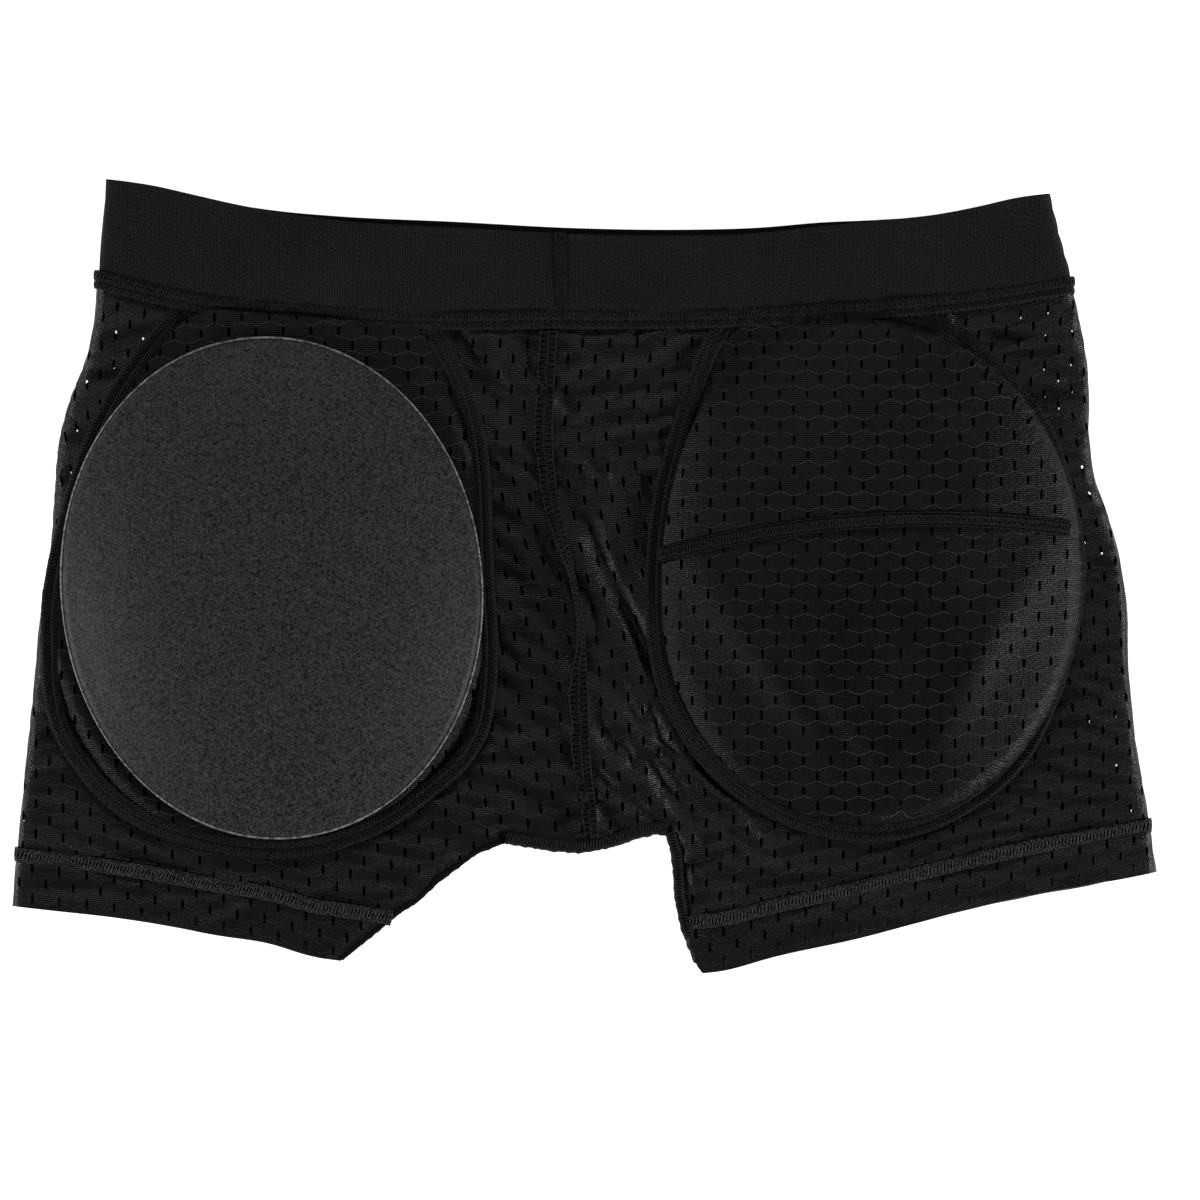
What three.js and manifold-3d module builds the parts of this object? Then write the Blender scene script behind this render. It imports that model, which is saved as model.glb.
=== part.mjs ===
// Padded impact shorts: stretch mesh shorts with two oval foam seat pads.
// They lie flat, turned inside out and seat side up. The right pad sits in its pocket,
// and the left pad has been taken out and lies on top of its own pocket.
// Millimetres. +Z is up, +Y points to the waist, and +X to the right of the layout.
// The origin is on the surface that the shorts lie on, under the middle of their outline.
import * as THREE from "three";
import { mergeVertices } from "three/addons/utils/BufferGeometryUtils.js";
import Module from "manifold-3d";

const wasm = await Module();
wasm.setup();

// ---- Cloth, thread and clearances ----
const cloth = 0.8; // mesh knit of the body
const flapCloth = 0.6; // lighter mesh knit of the pockets
const elasticThick = 1.5;
const seamThick = 1.4; // cloth layers and thread, pressed together
const bandThread = 0.7; // a flat row of cover stitches that lies on the cloth
const gap = 0.3; // between pieces that touch
const bodyLoft = 5.6; // free height inside the shorts as they lie
const pocketLoft = 5.4; // free height inside the empty pocket

// ---- Pads ----
const padWidth = 158;
const padLength = 189;
const padCrown = 18;
const padEdge = 1.6; // height of the pressed edge
const padCloth = 0.5; // cloth laminated on the foam
const padSquareness = 2.05; // 2 is an ellipse, and more is squarer
const crownPower = 2.6; // higher is flatter on top and steeper at the edge
const padSteps = 40; // straight sides of each pad's outline, as modelled
const beadWidth = 0.9; // cut and fused edge all round the pad
const padSpread = 227.5; // between the centres of the two pads
const leftPad = { x: -118.5, y: -4.5, turn: 5.4 }; // turn in degrees, seen from above
const rightPad = { x: leftPad.x + padSpread, y: 1, turn: 0 };
const leftPocket = { x: leftPad.x - 3.5, y: leftPad.y + 3.5, turn: 0 };
const rightPocket = rightPad;

// ---- Shorts ----
const waistWidth = 357;
const elasticHeight = 33; // elastic that shows above its seam
const waistSeamWidth = 7.5;
const rise = 235; // top of the waist to the crotch, along the middle
const sideMargin = 7; // cloth past the pads at each side
const legFlare = 12; // how much further out the hems reach than the seat
const coverStitchWidth = 6.4;
const mouthRowWidth = 6.4; // stitched row along the edge of each pocket's mouth
const hemHeight = 17; // from the hem's stitching to its folded edge
const sergedWidth = 6; // overlocked seam allowance
const ridgeHeight = 2.2; // how far the centre back seam's allowance stands up
const pocketOverlap = 18; // how far the upper flap reaches over the lower one
const mouthRise = 32; // how far the mouth would drop, a pad's width from its middle
const mouthLevel = 14; // edge of the upper flap, above the pad's centre
const mouthShift = 20; // the mouth is highest this far outward of the pad's centre
const flapMargin = { empty: 0.8, full: 2.5 }; // flat cloth round the pad, up to the seam
const pocketSeamWidth = 7;
const pocketSquareness = 2.4; // the pockets are squarer than the pads
const joinWidth = 8; // flat-felled join of the elastic's two ends

// ---- Levels, from the surface up ----
const bodyHeight = 2 * cloth + bodyLoft;
const waistHeight = 2 * elasticThick + bodyLoft;
const pocketZ = bodyHeight + gap; // the pockets lie on the back of the shorts
const mouthTop = pocketLoft + flapCloth + gap + bandThread; // over the empty pocket
const loosePadZ = pocketZ + mouthTop + gap;
const below = -20; // cutting prisms run from here
const above = 60; // to here

// ---- Lines of the layout ----
const middle = (leftPad.x + rightPad.x) / 2; // where the centre seams run
const leftSide = leftPad.x - padWidth / 2 - sideMargin;
const rightSide = rightPad.x + padWidth / 2 + sideMargin + 10;
const seamLevel = 98; // centre of the waist seam, in the middle of the shorts
const seamLift = { left: 13.5, right: 11.3 }; // how much the seam rises to each side
const topLift = { left: 18, right: 12.6 }; // and the elastic's top edge
const waistTop = seamLevel + waistSeamWidth / 2 + elasticHeight - 3;
const crotch = waistTop - rise;
const waistLeft = middle - waistWidth / 2 + 2;
const waistRight = waistLeft + waistWidth;
const waistFlare = 5; // the waist seam is this much further out than the top edge
const extra = 14; // outlines run this far past the open ends before they are cut

// A line that is level in the middle and rises to both sides, at x.
function bowed(level, lift, x) {
  const t = (x - middle) / (waistWidth / 2);
  return level + (x < middle ? lift.left : lift.right) * t * t;
}
const waistSeamY = (x) => bowed(seamLevel, seamLift, x);
const waistTopY = (x) => bowed(waistTop, topLift, x);

// Each leg's hem stitching runs from its outer side to its inner side.
const leftHem = {
  outer: [leftSide - legFlare, crotch - 3],
  inner: [leftPad.x + 46, crotch - 26],
};
const rightHem = {
  inner: [middle + 44, crotch - 30],
  outer: [rightSide + legFlare, crotch + 11],
};
const hemDrop = coverStitchWidth / 2 + hemHeight; // stitching to folded edge
const crotchLeft = [middle - 29, crotch + 1];
const crotchMiddle = [middle + 4, crotch - 2];
const crotchRight = [middle + 36, crotch + 6];

const vec = ([x, y]) => new THREE.Vector2(x, y);
const moved = ([x, y], dx, dy) => [x + dx, y + dy];

// A smooth line through points, as a list of Vector2.
function smooth(points, steps) {
  return new THREE.SplineCurve(points.map(vec)).getPoints(steps);
}

// ---- Solids ----
function toManifold(geometry) {
  const bare = geometry.index ? geometry.toNonIndexed() : geometry;
  bare.deleteAttribute("normal");
  bare.deleteAttribute("uv");
  const merged = mergeVertices(bare, 1e-4);
  return new wasm.Manifold(
    new wasm.Mesh({
      numProp: 3,
      vertProperties: merged.getAttribute("position").array,
      triVerts: new Uint32Array(merged.index.array),
    }),
  );
}

function toGeometry(solid) {
  const mesh = solid.getMesh();
  const position = new Float32Array(mesh.numVert * 3);
  for (let i = 0; i < mesh.numVert; i++) {
    const at = i * mesh.numProp;
    position.set(mesh.vertProperties.subarray(at, at + 3), i * 3);
  }
  const geometry = new THREE.BufferGeometry();
  geometry.setAttribute("position", new THREE.BufferAttribute(position, 3));
  geometry.setIndex(new THREE.BufferAttribute(new Uint32Array(mesh.triVerts), 1));
  geometry.computeVertexNormals();
  return geometry;
}

// A plate with the outline of a list of Vector2, between two heights.
function plate(points, low, high) {
  const shape = new THREE.Shape(points);
  const geometry = new THREE.ExtrudeGeometry(shape, {
    depth: high - low,
    bevelEnabled: false,
  });
  return toManifold(geometry.translate(0, 0, low));
}
const prism = (points) => plate(points, below, above);

// A solid with rounded sides, as cloth folds round at the edge of a flat garment.
function pillow(points, inset, low, high) {
  const half = (high - low) / 2;
  const web = 0.1; // straight part between the two rounded halves
  const geometry = new THREE.ExtrudeGeometry(new THREE.Shape(points), {
    depth: web,
    bevelThickness: half - web / 2,
    bevelSize: half,
    bevelOffset: -half - inset,
    bevelSegments: 3,
  });
  return toManifold(geometry.translate(0, 0, low + half - web / 2));
}

// A flattened tube of cloth: a pillow with a smaller one taken out of it.
function shell(points, height, wall) {
  return pillow(points, 0, 0, height).subtract(pillow(points, wall, wall, height - wall));
}

// The points of a strip along a line of Vector2, this far to its left and its right.
function strip(line, left, right) {
  const sides = line.map((point, i) => {
    const a = line[Math.max(i - 1, 0)];
    const b = line[Math.min(i + 1, line.length - 1)];
    const across = new THREE.Vector2(a.y - b.y, b.x - a.x).normalize();
    return [point.clone().addScaledVector(across, left), point.clone().addScaledVector(across, -right)];
  });
  return [...sides.map((s) => s[1]), ...sides.map((s) => s[0]).reverse()];
}

// How far a rounded-square outline reaches at an angle, next to 1 for a circle.
function squareness(angle, power = padSquareness) {
  const c = Math.abs(Math.cos(angle)) ** power;
  const s = Math.abs(Math.sin(angle)) ** power;
  return (c + s) ** (-1 / power);
}

// The pad's outline, this much larger all round, as a list of Vector2.
function padOutline(centre, offset, power = padSquareness) {
  return Array.from({ length: padSteps }, (_, i) => {
    const angle = (i / padSteps) * 2 * Math.PI;
    const reach = squareness(angle, power);
    const x = (padWidth / 2 + offset) * reach * Math.cos(angle);
    const y = (padLength / 2 + offset) * reach * Math.sin(angle);
    const turn = THREE.MathUtils.degToRad(centre.turn);
    return new THREE.Vector2(x, y).rotateAround(new THREE.Vector2(), turn).add(centre);
  });
}

// A solid dome on the pad's outline: a short upright edge, then the crown.
function dome(centre, offset, base, crown) {
  const rings = 7;
  const profile = [new THREE.Vector2(0, 0), new THREE.Vector2(1, 0)];
  for (let i = rings; i >= 0; i--) {
    const r = i / rings;
    const rim = padEdge + offset;
    profile.push(new THREE.Vector2(r, rim + (crown - padEdge) * (1 - r ** crownPower)));
  }
  const geometry = new THREE.LatheGeometry(profile, padSteps).rotateX(Math.PI / 2);
  const position = geometry.getAttribute("position");
  for (let i = 0; i < position.count; i++) {
    const reach = squareness(Math.atan2(position.getY(i), position.getX(i)));
    position.setXYZ(
      i,
      position.getX(i) * reach * (padWidth / 2 + offset),
      position.getY(i) * reach * (padLength / 2 + offset),
      position.getZ(i),
    );
  }
  geometry.rotateZ(THREE.MathUtils.degToRad(centre.turn));
  return toManifold(geometry.translate(centre.x, centre.y, base));
}

// ---- Outlines ----
// The body's outline runs past the waist and the hems, where it is cut open later.
const hemCornerLeft = moved(leftHem.outer, -2, -hemDrop);
const hemCornerRight = moved(rightHem.outer, 2, -hemDrop);
// A point beside a side, this share of the way down from the waist seam to the hem's corner.
const downSide = (x, corner, share) => [x, seamLevel + (corner[1] - seamLevel) * share];
const downLeft = (out, share) => downSide(leftSide - out, hemCornerLeft, share);
const downRight = (out, share) => downSide(rightSide + out, hemCornerRight, share);
const leftLine = smooth(
  [
    [waistLeft - waistFlare, waistSeamY(waistLeft) + 3],
    downLeft(-16, 0.05),
    downLeft(-8, 0.15),
    downLeft(-3, 0.27),
    downLeft(-1, 0.42),
    downLeft(4, 0.62),
    downLeft(9, 0.82),
    hemCornerLeft,
  ],
  21,
);
const rightLine = smooth(
  [
    hemCornerRight,
    downRight(5, 0.78),
    downRight(1, 0.56),
    downRight(-6, 0.37),
    downRight(-14, 0.19),
    downRight(-17, 0.05),
    [waistRight + waistFlare + 3, waistSeamY(waistRight) + 3],
  ],
  21,
);
const hemEdge = moved(leftHem.inner, -21, -17); // inner end of the left hem's edge
const leftInner = [
  moved(hemEdge, -1.2 * extra, -extra),
  hemEdge,
  moved(leftHem.inner, 32, 25),
  crotchLeft,
].map(vec);
const rightInner = [
  crotchRight,
  moved(crotchRight, 3, -9),
  moved(rightHem.inner, 0, -1),
  moved(rightHem.inner, 9, -hemDrop - 1),
  moved(rightHem.inner, 14, -hemDrop - extra),
].map(vec);
const crotchEdge = smooth([crotchLeft, crotchMiddle, crotchRight], 6);
const bodyOutline = [
  vec([waistLeft - waistFlare, waistSeamY(waistLeft) + 3 + extra]),
  ...leftLine,
  vec(moved(hemCornerLeft, -2, -1.4 * extra)),
  ...leftInner,
  ...crotchEdge.slice(1, -1),
  ...rightInner,
  vec(moved(hemCornerRight, 2, -1.4 * extra)),
  ...rightLine,
  vec([waistRight + waistFlare + 3, waistSeamY(waistRight) + 3 + extra]),
];
const waistOutline = [
  [waistLeft - waistFlare, waistSeamY(waistLeft) - extra],
  [waistRight + waistFlare + 5, waistSeamY(waistRight) - extra],
  [waistRight - 2, waistTopY(waistRight) + extra],
  [waistLeft + 1, waistTopY(waistLeft) + extra],
].map(vec);

// Everything between a curve y(x) and a level far above or below it.
function side(y, level) {
  const [from, to, steps] = [leftSide - 60, rightSide + 60, 28];
  const curve = Array.from({ length: steps + 1 }, (_, i) => {
    const x = from + ((to - from) * i) / steps;
    return new THREE.Vector2(x, y(x));
  });
  const ends = [new THREE.Vector2(to, level), new THREE.Vector2(from, level)];
  const points = [...curve, ...ends];
  return prism(level > seamLevel ? points : points.reverse());
}
const far = 400;
const halfSeam = waistSeamWidth / 2;
const aboveWaistSeam = side((x) => waistSeamY(x) + halfSeam + gap, far);
const belowWaistSeam = side((x) => waistSeamY(x) - halfSeam - gap, -far);
const onWaistSeam = side((x) => waistSeamY(x) - halfSeam, far).intersect(
  side((x) => waistSeamY(x) + halfSeam, -far),
);
const belowWaistTop = side(waistTopY, -far);

// The centre seams run down the middle of the shorts in a slow wave.
const seamDrop = seamLevel - crotch - 2;
const centreLine = smooth(
  [
    [middle - 4, seamLevel],
    [middle - 6, seamLevel - 0.12 * seamDrop],
    [middle - 3, seamLevel - 0.33 * seamDrop],
    [middle + 3, seamLevel - 0.5 * seamDrop],
    [middle + 7, seamLevel - 0.73 * seamDrop],
    [middle + 9, seamLevel - seamDrop],
  ],
  12,
);

// The layout to the left (-1) or the right (1) of the centre seams.
function halfOf(sign) {
  const first = centreLine[0];
  const last = centreLine[centreLine.length - 1];
  const line = [new THREE.Vector2(first.x, far), ...centreLine, new THREE.Vector2(last.x, -far)];
  const edge = middle + sign * far;
  const points = [...line, new THREE.Vector2(edge, -far), new THREE.Vector2(edge, far)];
  return prism(sign > 0 ? points.reverse() : points);
}

// The part of one leg under its hem line, with the line moved up by this much.
function underHem([from, to], sign, offset) {
  const run = vec(to).sub(vec(from));
  const a = vec(from).addScaledVector(run, -0.4);
  const b = vec(to).addScaledVector(run, 0.4);
  return prism([
    new THREE.Vector2(a.x, -far),
    new THREE.Vector2(b.x, -far),
    new THREE.Vector2(b.x, b.y + offset),
    new THREE.Vector2(a.x, a.y + offset),
  ]).intersect(halfOf(sign));
}

const farCorners = [[-far, -far], [far, -far], [far, far], [-far, far]].map(vec);
const upperLayer = plate(farCorners, bodyHeight / 2, above);
const lowerLayer = plate(farCorners, below, bodyHeight / 2);

// ---- Body pieces ----
const bodyCloth = shell(bodyOutline, bodyHeight, cloth);
const bodySeam = shell(bodyOutline, bodyHeight, seamThick);
const legs = [
  { name: "left", hem: [leftHem.outer, leftHem.inner], sign: -1 },
  { name: "right", hem: [rightHem.inner, rightHem.outer], sign: 1 },
];

const outside = 10; // a seam's cut runs this far out past the edge of the cloth
const inseamEdges = { left: leftInner, right: rightInner };
const centreStrip = (margin) => {
  const half = sergedWidth / 2 + margin;
  return prism(strip(centreLine, half, half));
};
const crotchStrip = (margin) => prism(strip(crotchEdge, sergedWidth + margin, outside));
const inseamStrip = (name, margin) =>
  prism(strip(inseamEdges[name], sergedWidth - 1 + margin, outside));
const gussetTop = crotch + 34;
const gussetOutline = (margin) => [
  vec([middle + 8, gussetTop + margin]),
  vec([crotchLeft[0] + 9 - margin, crotch + sergedWidth + 3]),
  vec([crotchLeft[0] + 9 - margin, crotch - outside]),
  vec([crotchRight[0] - 8 + margin, crotch - outside]),
  vec([crotchRight[0] - 8 + margin, crotch + sergedWidth + 3]),
];

const parts = {};
parts.waistband = shell(waistOutline, waistHeight, elasticThick)
  .intersect(aboveWaistSeam)
  .intersect(belowWaistTop);
const joinLine = [
  vec([middle - 4, waistSeamY(middle) + halfSeam + 2 * gap]),
  vec([middle - 5, waistTopY(middle) - gap]),
];
parts.waistband_join = plate(
  strip(joinLine, joinWidth / 2, joinWidth / 2),
  waistHeight + gap,
  waistHeight + gap + bandThread,
);
parts.waist_seam = bodySeam.intersect(onWaistSeam);
parts.gusset = bodyCloth
  .intersect(prism(gussetOutline(0)))
  .intersect(lowerLayer)
  .subtract(crotchStrip(gap));
parts.crotch_seam = bodySeam.intersect(crotchStrip(0));

const centreCloth = bodyCloth
  .intersect(centreStrip(0))
  .intersect(belowWaistSeam)
  .subtract(crotchStrip(gap));
const ridge = centreStrip(0)
  .intersect(plate(farCorners, bodyHeight - cloth / 2, bodyHeight + ridgeHeight))
  .intersect(belowWaistSeam)
  .subtract(crotchStrip(gap));
parts.centre_back_seam = centreCloth.intersect(upperLayer).add(ridge);
parts.centre_front_seam = centreCloth
  .intersect(lowerLayer)
  .subtract(prism(gussetOutline(gap)));

for (const leg of legs) {
  const halfStitch = coverStitchWidth / 2;
  const legUnder = (offset) => underHem(leg.hem, leg.sign, offset);
  const aboveHem = halfOf(leg.sign).subtract(legUnder(halfStitch + gap));
  parts[`${leg.name}_panel`] = bodyCloth
    .intersect(belowWaistSeam)
    .intersect(aboveHem)
    .subtract(centreStrip(gap))
    .subtract(crotchStrip(gap))
    .subtract(inseamStrip(leg.name, gap))
    .subtract(prism(gussetOutline(gap)).intersect(lowerLayer));
  parts[`${leg.name}_inseam`] = bodySeam
    .intersect(inseamStrip(leg.name, 0))
    .subtract(legUnder(halfStitch + gap))
    .subtract(crotchStrip(gap));
  parts[`${leg.name}_hem_stitching`] = bodySeam
    .intersect(legUnder(halfStitch))
    .subtract(legUnder(-halfStitch));
  parts[`${leg.name}_hem`] = bodySeam
    .intersect(legUnder(-halfStitch - gap))
    .subtract(legUnder(-hemDrop));
}

// ---- Pocket pieces ----
const pocketOutline = (centre, offset) => padOutline(centre, offset, pocketSquareness);

// Cloth of a pocket: a dome over what it holds, and a flat margin out to the pocket's seam.
function pocketCloth(centre, crown, offset, margin) {
  const inner = dome(centre, offset, pocketZ, crown);
  return dome(centre, offset + flapCloth, pocketZ, crown)
    .add(plate(pocketOutline(centre, margin), pocketZ, pocketZ + flapCloth))
    .subtract(inner);
}

const pockets = [
  { name: "left", centre: leftPocket, sign: -1, full: false },
  { name: "right", centre: rightPocket, sign: 1, full: true },
];
for (const { name, centre, sign, full } of pockets) {
  const mouth = (x) => {
    const t = (x - centre.x - sign * mouthShift) / padWidth;
    return centre.y + mouthLevel - mouthRise * t * t;
  };
  const overMouth = side(mouth, far);
  const margin = full ? flapMargin.full : flapMargin.empty;
  const seamRim = margin + gap;
  parts[`${name}_pocket_seam`] = plate(
    pocketOutline(centre, seamRim + pocketSeamWidth),
    pocketZ,
    pocketZ + seamThick,
  )
    .subtract(prism(pocketOutline(centre, seamRim)))
    .intersect(prism(bodyOutline));

  let crown = pocketLoft;
  let offset = 0;
  if (full) {
    crown = padCrown;
    const lowerOffset = beadWidth + gap;
    offset = lowerOffset + flapCloth + gap;
    const overLap = side((x) => mouth(x) + pocketOverlap + gap, far);
    const lowerMargin = plate(farCorners, below, pocketZ + flapCloth + gap).subtract(overLap);
    const underLap = side((x) => mouth(x) + pocketOverlap, -far);
    parts[`${name}_pocket_lower`] = pocketCloth(centre, crown, lowerOffset, margin).intersect(underLap);
    parts[`${name}_pocket_upper`] = pocketCloth(centre, crown, offset, margin)
      .intersect(overMouth)
      .subtract(lowerMargin);
  } else {
    const underMouth = side((x) => mouth(x) - gap, -far);
    const lying = plate(pocketOutline(centre, margin), pocketZ, pocketZ + flapCloth);
    parts[`${name}_pocket_lower`] = lying.intersect(underMouth);
    parts[`${name}_pocket_upper`] = pocketCloth(centre, crown, offset, margin).intersect(
      overMouth,
    );
  }

  const rowOffset = offset + flapCloth + gap;
  parts[`${name}_pocket_mouth_stitching`] = dome(centre, rowOffset + bandThread, pocketZ, crown)
    .subtract(dome(centre, rowOffset, pocketZ, crown))
    .intersect(side((x) => mouth(x) + gap, far))
    .intersect(side((x) => mouth(x) + mouthRowWidth, -far))
    .intersect(plate(farCorners, pocketZ + seamThick + gap, above));
}

// ---- Pad pieces ----
const pads = [
  { name: "left", centre: leftPad, base: loosePadZ },
  { name: "right", centre: rightPad, base: pocketZ },
];
for (const { name, centre, base } of pads) {
  const backTop = base + padCloth;
  const inset = -padCloth - gap;
  parts[`${name}_pad_rim`] = plate(padOutline(centre, beadWidth), base, base + padEdge)
    .subtract(prism(padOutline(centre, 0)));
  parts[`${name}_pad_back_cover`] = plate(padOutline(centre, -gap), base, backTop);
  parts[`${name}_pad_face_cover`] = dome(centre, -gap, base, padCrown)
    .subtract(dome(centre, inset, base, padCrown))
    .subtract(plate(padOutline(centre, 10), below, backTop + gap));
  parts[`${name}_pad_foam`] = dome(centre, inset - gap, base, padCrown).subtract(
    plate(padOutline(centre, 10), below, backTop + gap),
  );
}

// ---- Materials and assembly ----
const looks = {
  mesh_knit: { color: 0x161818, roughness: 0.78 },
  pocket_knit: { color: 0x1b1d1d, roughness: 0.74 },
  elastic: { color: 0x1c1b19, roughness: 0.86 },
  seam_thread: { color: 0x141413, roughness: 0.7 },
  hem_thread: { color: 0x211d1a, roughness: 0.72 },
  laminate: { color: 0x35373a, roughness: 0.55 },
  foam: { color: 0x55585c, roughness: 0.95 },
  fused_edge: { color: 0x5d5d5a, roughness: 0.6 },
};

function mesh(name, look) {
  const material = new THREE.MeshStandardMaterial({ ...looks[look], metalness: 0 });
  const made = new THREE.Mesh(toGeometry(parts[name]), material);
  made.name = name;
  return made;
}

function assembly(pieces) {
  const group = new THREE.Group();
  for (const [look, names] of Object.entries(pieces)) {
    for (const name of names) {
      group.add(mesh(name, look));
    }
  }
  return group;
}

const padPieces = (side) => ({
  laminate: [`${side}_pad_face_cover`, `${side}_pad_back_cover`],
  foam: [`${side}_pad_foam`],
  fused_edge: [`${side}_pad_rim`],
});
const pocketPieces = (side) => ({
  pocket_knit: [`${side}_pocket_lower`, `${side}_pocket_upper`],
  hem_thread: [`${side}_pocket_seam`, `${side}_pocket_mouth_stitching`],
});

const group = new THREE.Group();
group.add(
  assembly({
    elastic: ["waistband"],
    seam_thread: [
      "waistband_join",
      "waist_seam",
      "centre_back_seam",
      "centre_front_seam",
      "crotch_seam",
      "left_inseam",
      "right_inseam",
    ],
    mesh_knit: ["left_panel", "right_panel", "gusset", "left_hem", "right_hem"],
    hem_thread: ["left_hem_stitching", "right_hem_stitching"],
  }),
  assembly(pocketPieces("left")),
  assembly(pocketPieces("right")),
  assembly(padPieces("left")),
  assembly(padPieces("right")),
);

export default group;
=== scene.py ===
import math
import random

import bmesh
import bpy
import numpy as np
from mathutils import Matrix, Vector


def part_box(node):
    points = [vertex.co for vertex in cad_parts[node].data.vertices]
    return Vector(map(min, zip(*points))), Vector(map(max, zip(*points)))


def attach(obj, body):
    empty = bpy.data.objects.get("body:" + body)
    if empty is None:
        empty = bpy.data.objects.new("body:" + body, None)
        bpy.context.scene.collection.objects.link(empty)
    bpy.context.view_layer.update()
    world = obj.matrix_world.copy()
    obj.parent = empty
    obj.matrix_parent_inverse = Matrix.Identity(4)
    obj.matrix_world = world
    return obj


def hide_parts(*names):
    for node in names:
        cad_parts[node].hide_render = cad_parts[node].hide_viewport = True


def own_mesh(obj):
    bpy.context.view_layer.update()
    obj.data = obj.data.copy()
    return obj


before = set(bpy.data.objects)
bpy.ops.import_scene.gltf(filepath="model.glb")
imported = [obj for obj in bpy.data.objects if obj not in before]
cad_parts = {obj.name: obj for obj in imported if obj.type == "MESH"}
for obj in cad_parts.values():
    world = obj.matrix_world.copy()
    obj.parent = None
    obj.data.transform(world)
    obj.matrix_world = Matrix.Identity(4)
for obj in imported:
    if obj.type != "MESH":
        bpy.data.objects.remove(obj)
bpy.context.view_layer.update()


# ---- Camera, table and lights ----
# The shorts lie on a white table and are seen from straight above, from about two metres. A softbox
# stands low on each side, and a weaker one beyond the waistband.
VIEW_CENTRE = Vector((0.0057, -0.0091, 0.0))
VIEW_WIDTH = 0.457
VIEW_HEIGHT = 2.2
SENSOR = 36
camera = bpy.data.objects.new("camera", bpy.data.cameras.new("camera"))
bpy.context.scene.collection.objects.link(camera)
camera.data.sensor_width = SENSOR
camera.data.lens = SENSOR * VIEW_HEIGHT / VIEW_WIDTH
camera.data.clip_end = 20
camera.location = VIEW_CENTRE + Vector((0, 0, VIEW_HEIGHT))
camera.rotation_euler = (0, 0, 0)  # unturned, it looks straight down
bpy.context.scene.camera = camera

bpy.ops.object.select_all(action="DESELECT")
bpy.ops.mesh.primitive_plane_add(size=8, location=(0, 0, -0.0002))
table = bpy.context.object
table.name = "table"
table_mat = bpy.data.materials.new("white_table")
table_mat.use_nodes = True
table_shader = table_mat.node_tree.nodes["Principled BSDF"]
table_shader.inputs["Base Color"].default_value = (0.92, 0.92, 0.92, 1)
table_shader.inputs["Roughness"].default_value = 0.9
table_shader.inputs["Emission Color"].default_value = (1, 1, 1, 1)
table_shader.inputs["Emission Strength"].default_value = 0.9
table.data.materials.append(table_mat)

world = bpy.data.worlds.new("studio")
world.use_nodes = True
world.node_tree.nodes["Background"].inputs["Color"].default_value = (1, 1, 1, 1)
world.node_tree.nodes["Background"].inputs["Strength"].default_value = 0.07
bpy.context.scene.world = world
bpy.context.scene.view_settings.view_transform = "Standard"


def softbox(name, place, width, height, watts):
    data = bpy.data.lights.new(name, "AREA")
    data.shape = "RECTANGLE"
    data.size = width
    data.size_y = height
    data.energy = watts
    box = bpy.data.objects.new(name, data)
    bpy.context.scene.collection.objects.link(box)
    box.location = place
    box.rotation_euler = (-Vector(place)).to_track_quat("-Z", "Y").to_euler()


softbox("softbox_right", (1.6, -0.55, 0.6), 0.5, 0.4, 25)
softbox("softbox_left", (-1.6, -0.35, 0.6), 0.5, 0.4, 17)
softbox("softbox_top", (-0.2, 1.4, 1.1), 0.9, 0.5, 5)


# ---- Body panels ----
# Each leg and half of the body is one piece of black warp-knit stretch mesh, which wraps from the
# centre back seam round the side fold to the centre front seam. Rows of slits, staggered like the
# upright sides of hexagons, pierce the knit, and dotted floats link the slits.
MM = 0.001  # places and sizes are in millimetres until a mesh is made of them


def curve(points):
    """A smooth function through (t, value) points, which runs on straight past its ends."""
    t = np.array([p[0] for p in points], float)
    v = np.array([p[1] for p in points], float)
    slope = np.gradient(v, t)

    def at(x):
        x = np.asarray(x, float)
        i = np.clip(np.searchsorted(t, x) - 1, 0, len(t) - 2)
        h = t[i + 1] - t[i]
        s = (x - t[i]) / h
        inside = np.clip(s, 0, 1)
        a, b = v[i], v[i + 1]
        ma, mb = slope[i] * h, slope[i + 1] * h
        s2, s3 = inside**2, inside**3
        value = (2 * s3 - 3 * s2 + 1) * a + (s3 - 2 * s2 + inside) * ma
        value = value + (-2 * s3 + 3 * s2) * b + (s3 - s2) * mb
        past = np.where(s < 0, s, np.where(s > 1, s - 1, 0)) * h
        return value + past * np.where(s < 0, slope[0], slope[-1])

    return at


def smoothstep(x):
    x = np.clip(x, 0, 1)
    return x * x * (3 - 2 * x)


# Lines of the layout, in millimetres.
MIDDLE = -4.5
left_side = curve(
    [(-146, -219), (-126, -217.5), (-85, -213.7), (-47, -209.8), (-9, -206), (6, -203.4),
     (29, -201.6), (52, -199.4), (67, -195.2), (80, -190), (95, -186.6), (113, -185.4), (130, -185)]
)
right_side = curve(
    [(-146, 221), (-113, 217), (-90, 213.6), (-62, 209), (-35, 206.6), (-9, 205.6), (6, 203),
     (21, 199), (36, 193.6), (52, 191.6), (67, 191.4), (82, 190.4), (97, 187.6), (113, 184.4),
     (130, 182)]
)
sides = {-1: left_side, 1: right_side}
hem_left = curve(
    [(-225, -124.5), (-201, -127.2), (-178, -129.8), (-160, -132.6), (-140, -136.4), (-120, -139.6),
     (-103, -144.6), (-92, -146.4), (0, -162)]
)
hem_right = curve(
    [(0, -162), (40, -151.4), (52, -150), (72, -144.6), (104, -137.6), (134, -129.6), (164, -122.4),
     (195, -116.6), (217, -112.4), (226, -110.4)]
)
seam_x = curve(
    [(-105, 4.5), (-100, 4.5), (-68, 1.5), (-40, 0.5), (-2, -4), (3, -5), (16, -8), (36, -11.6),
     (100, -11)]
)
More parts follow.
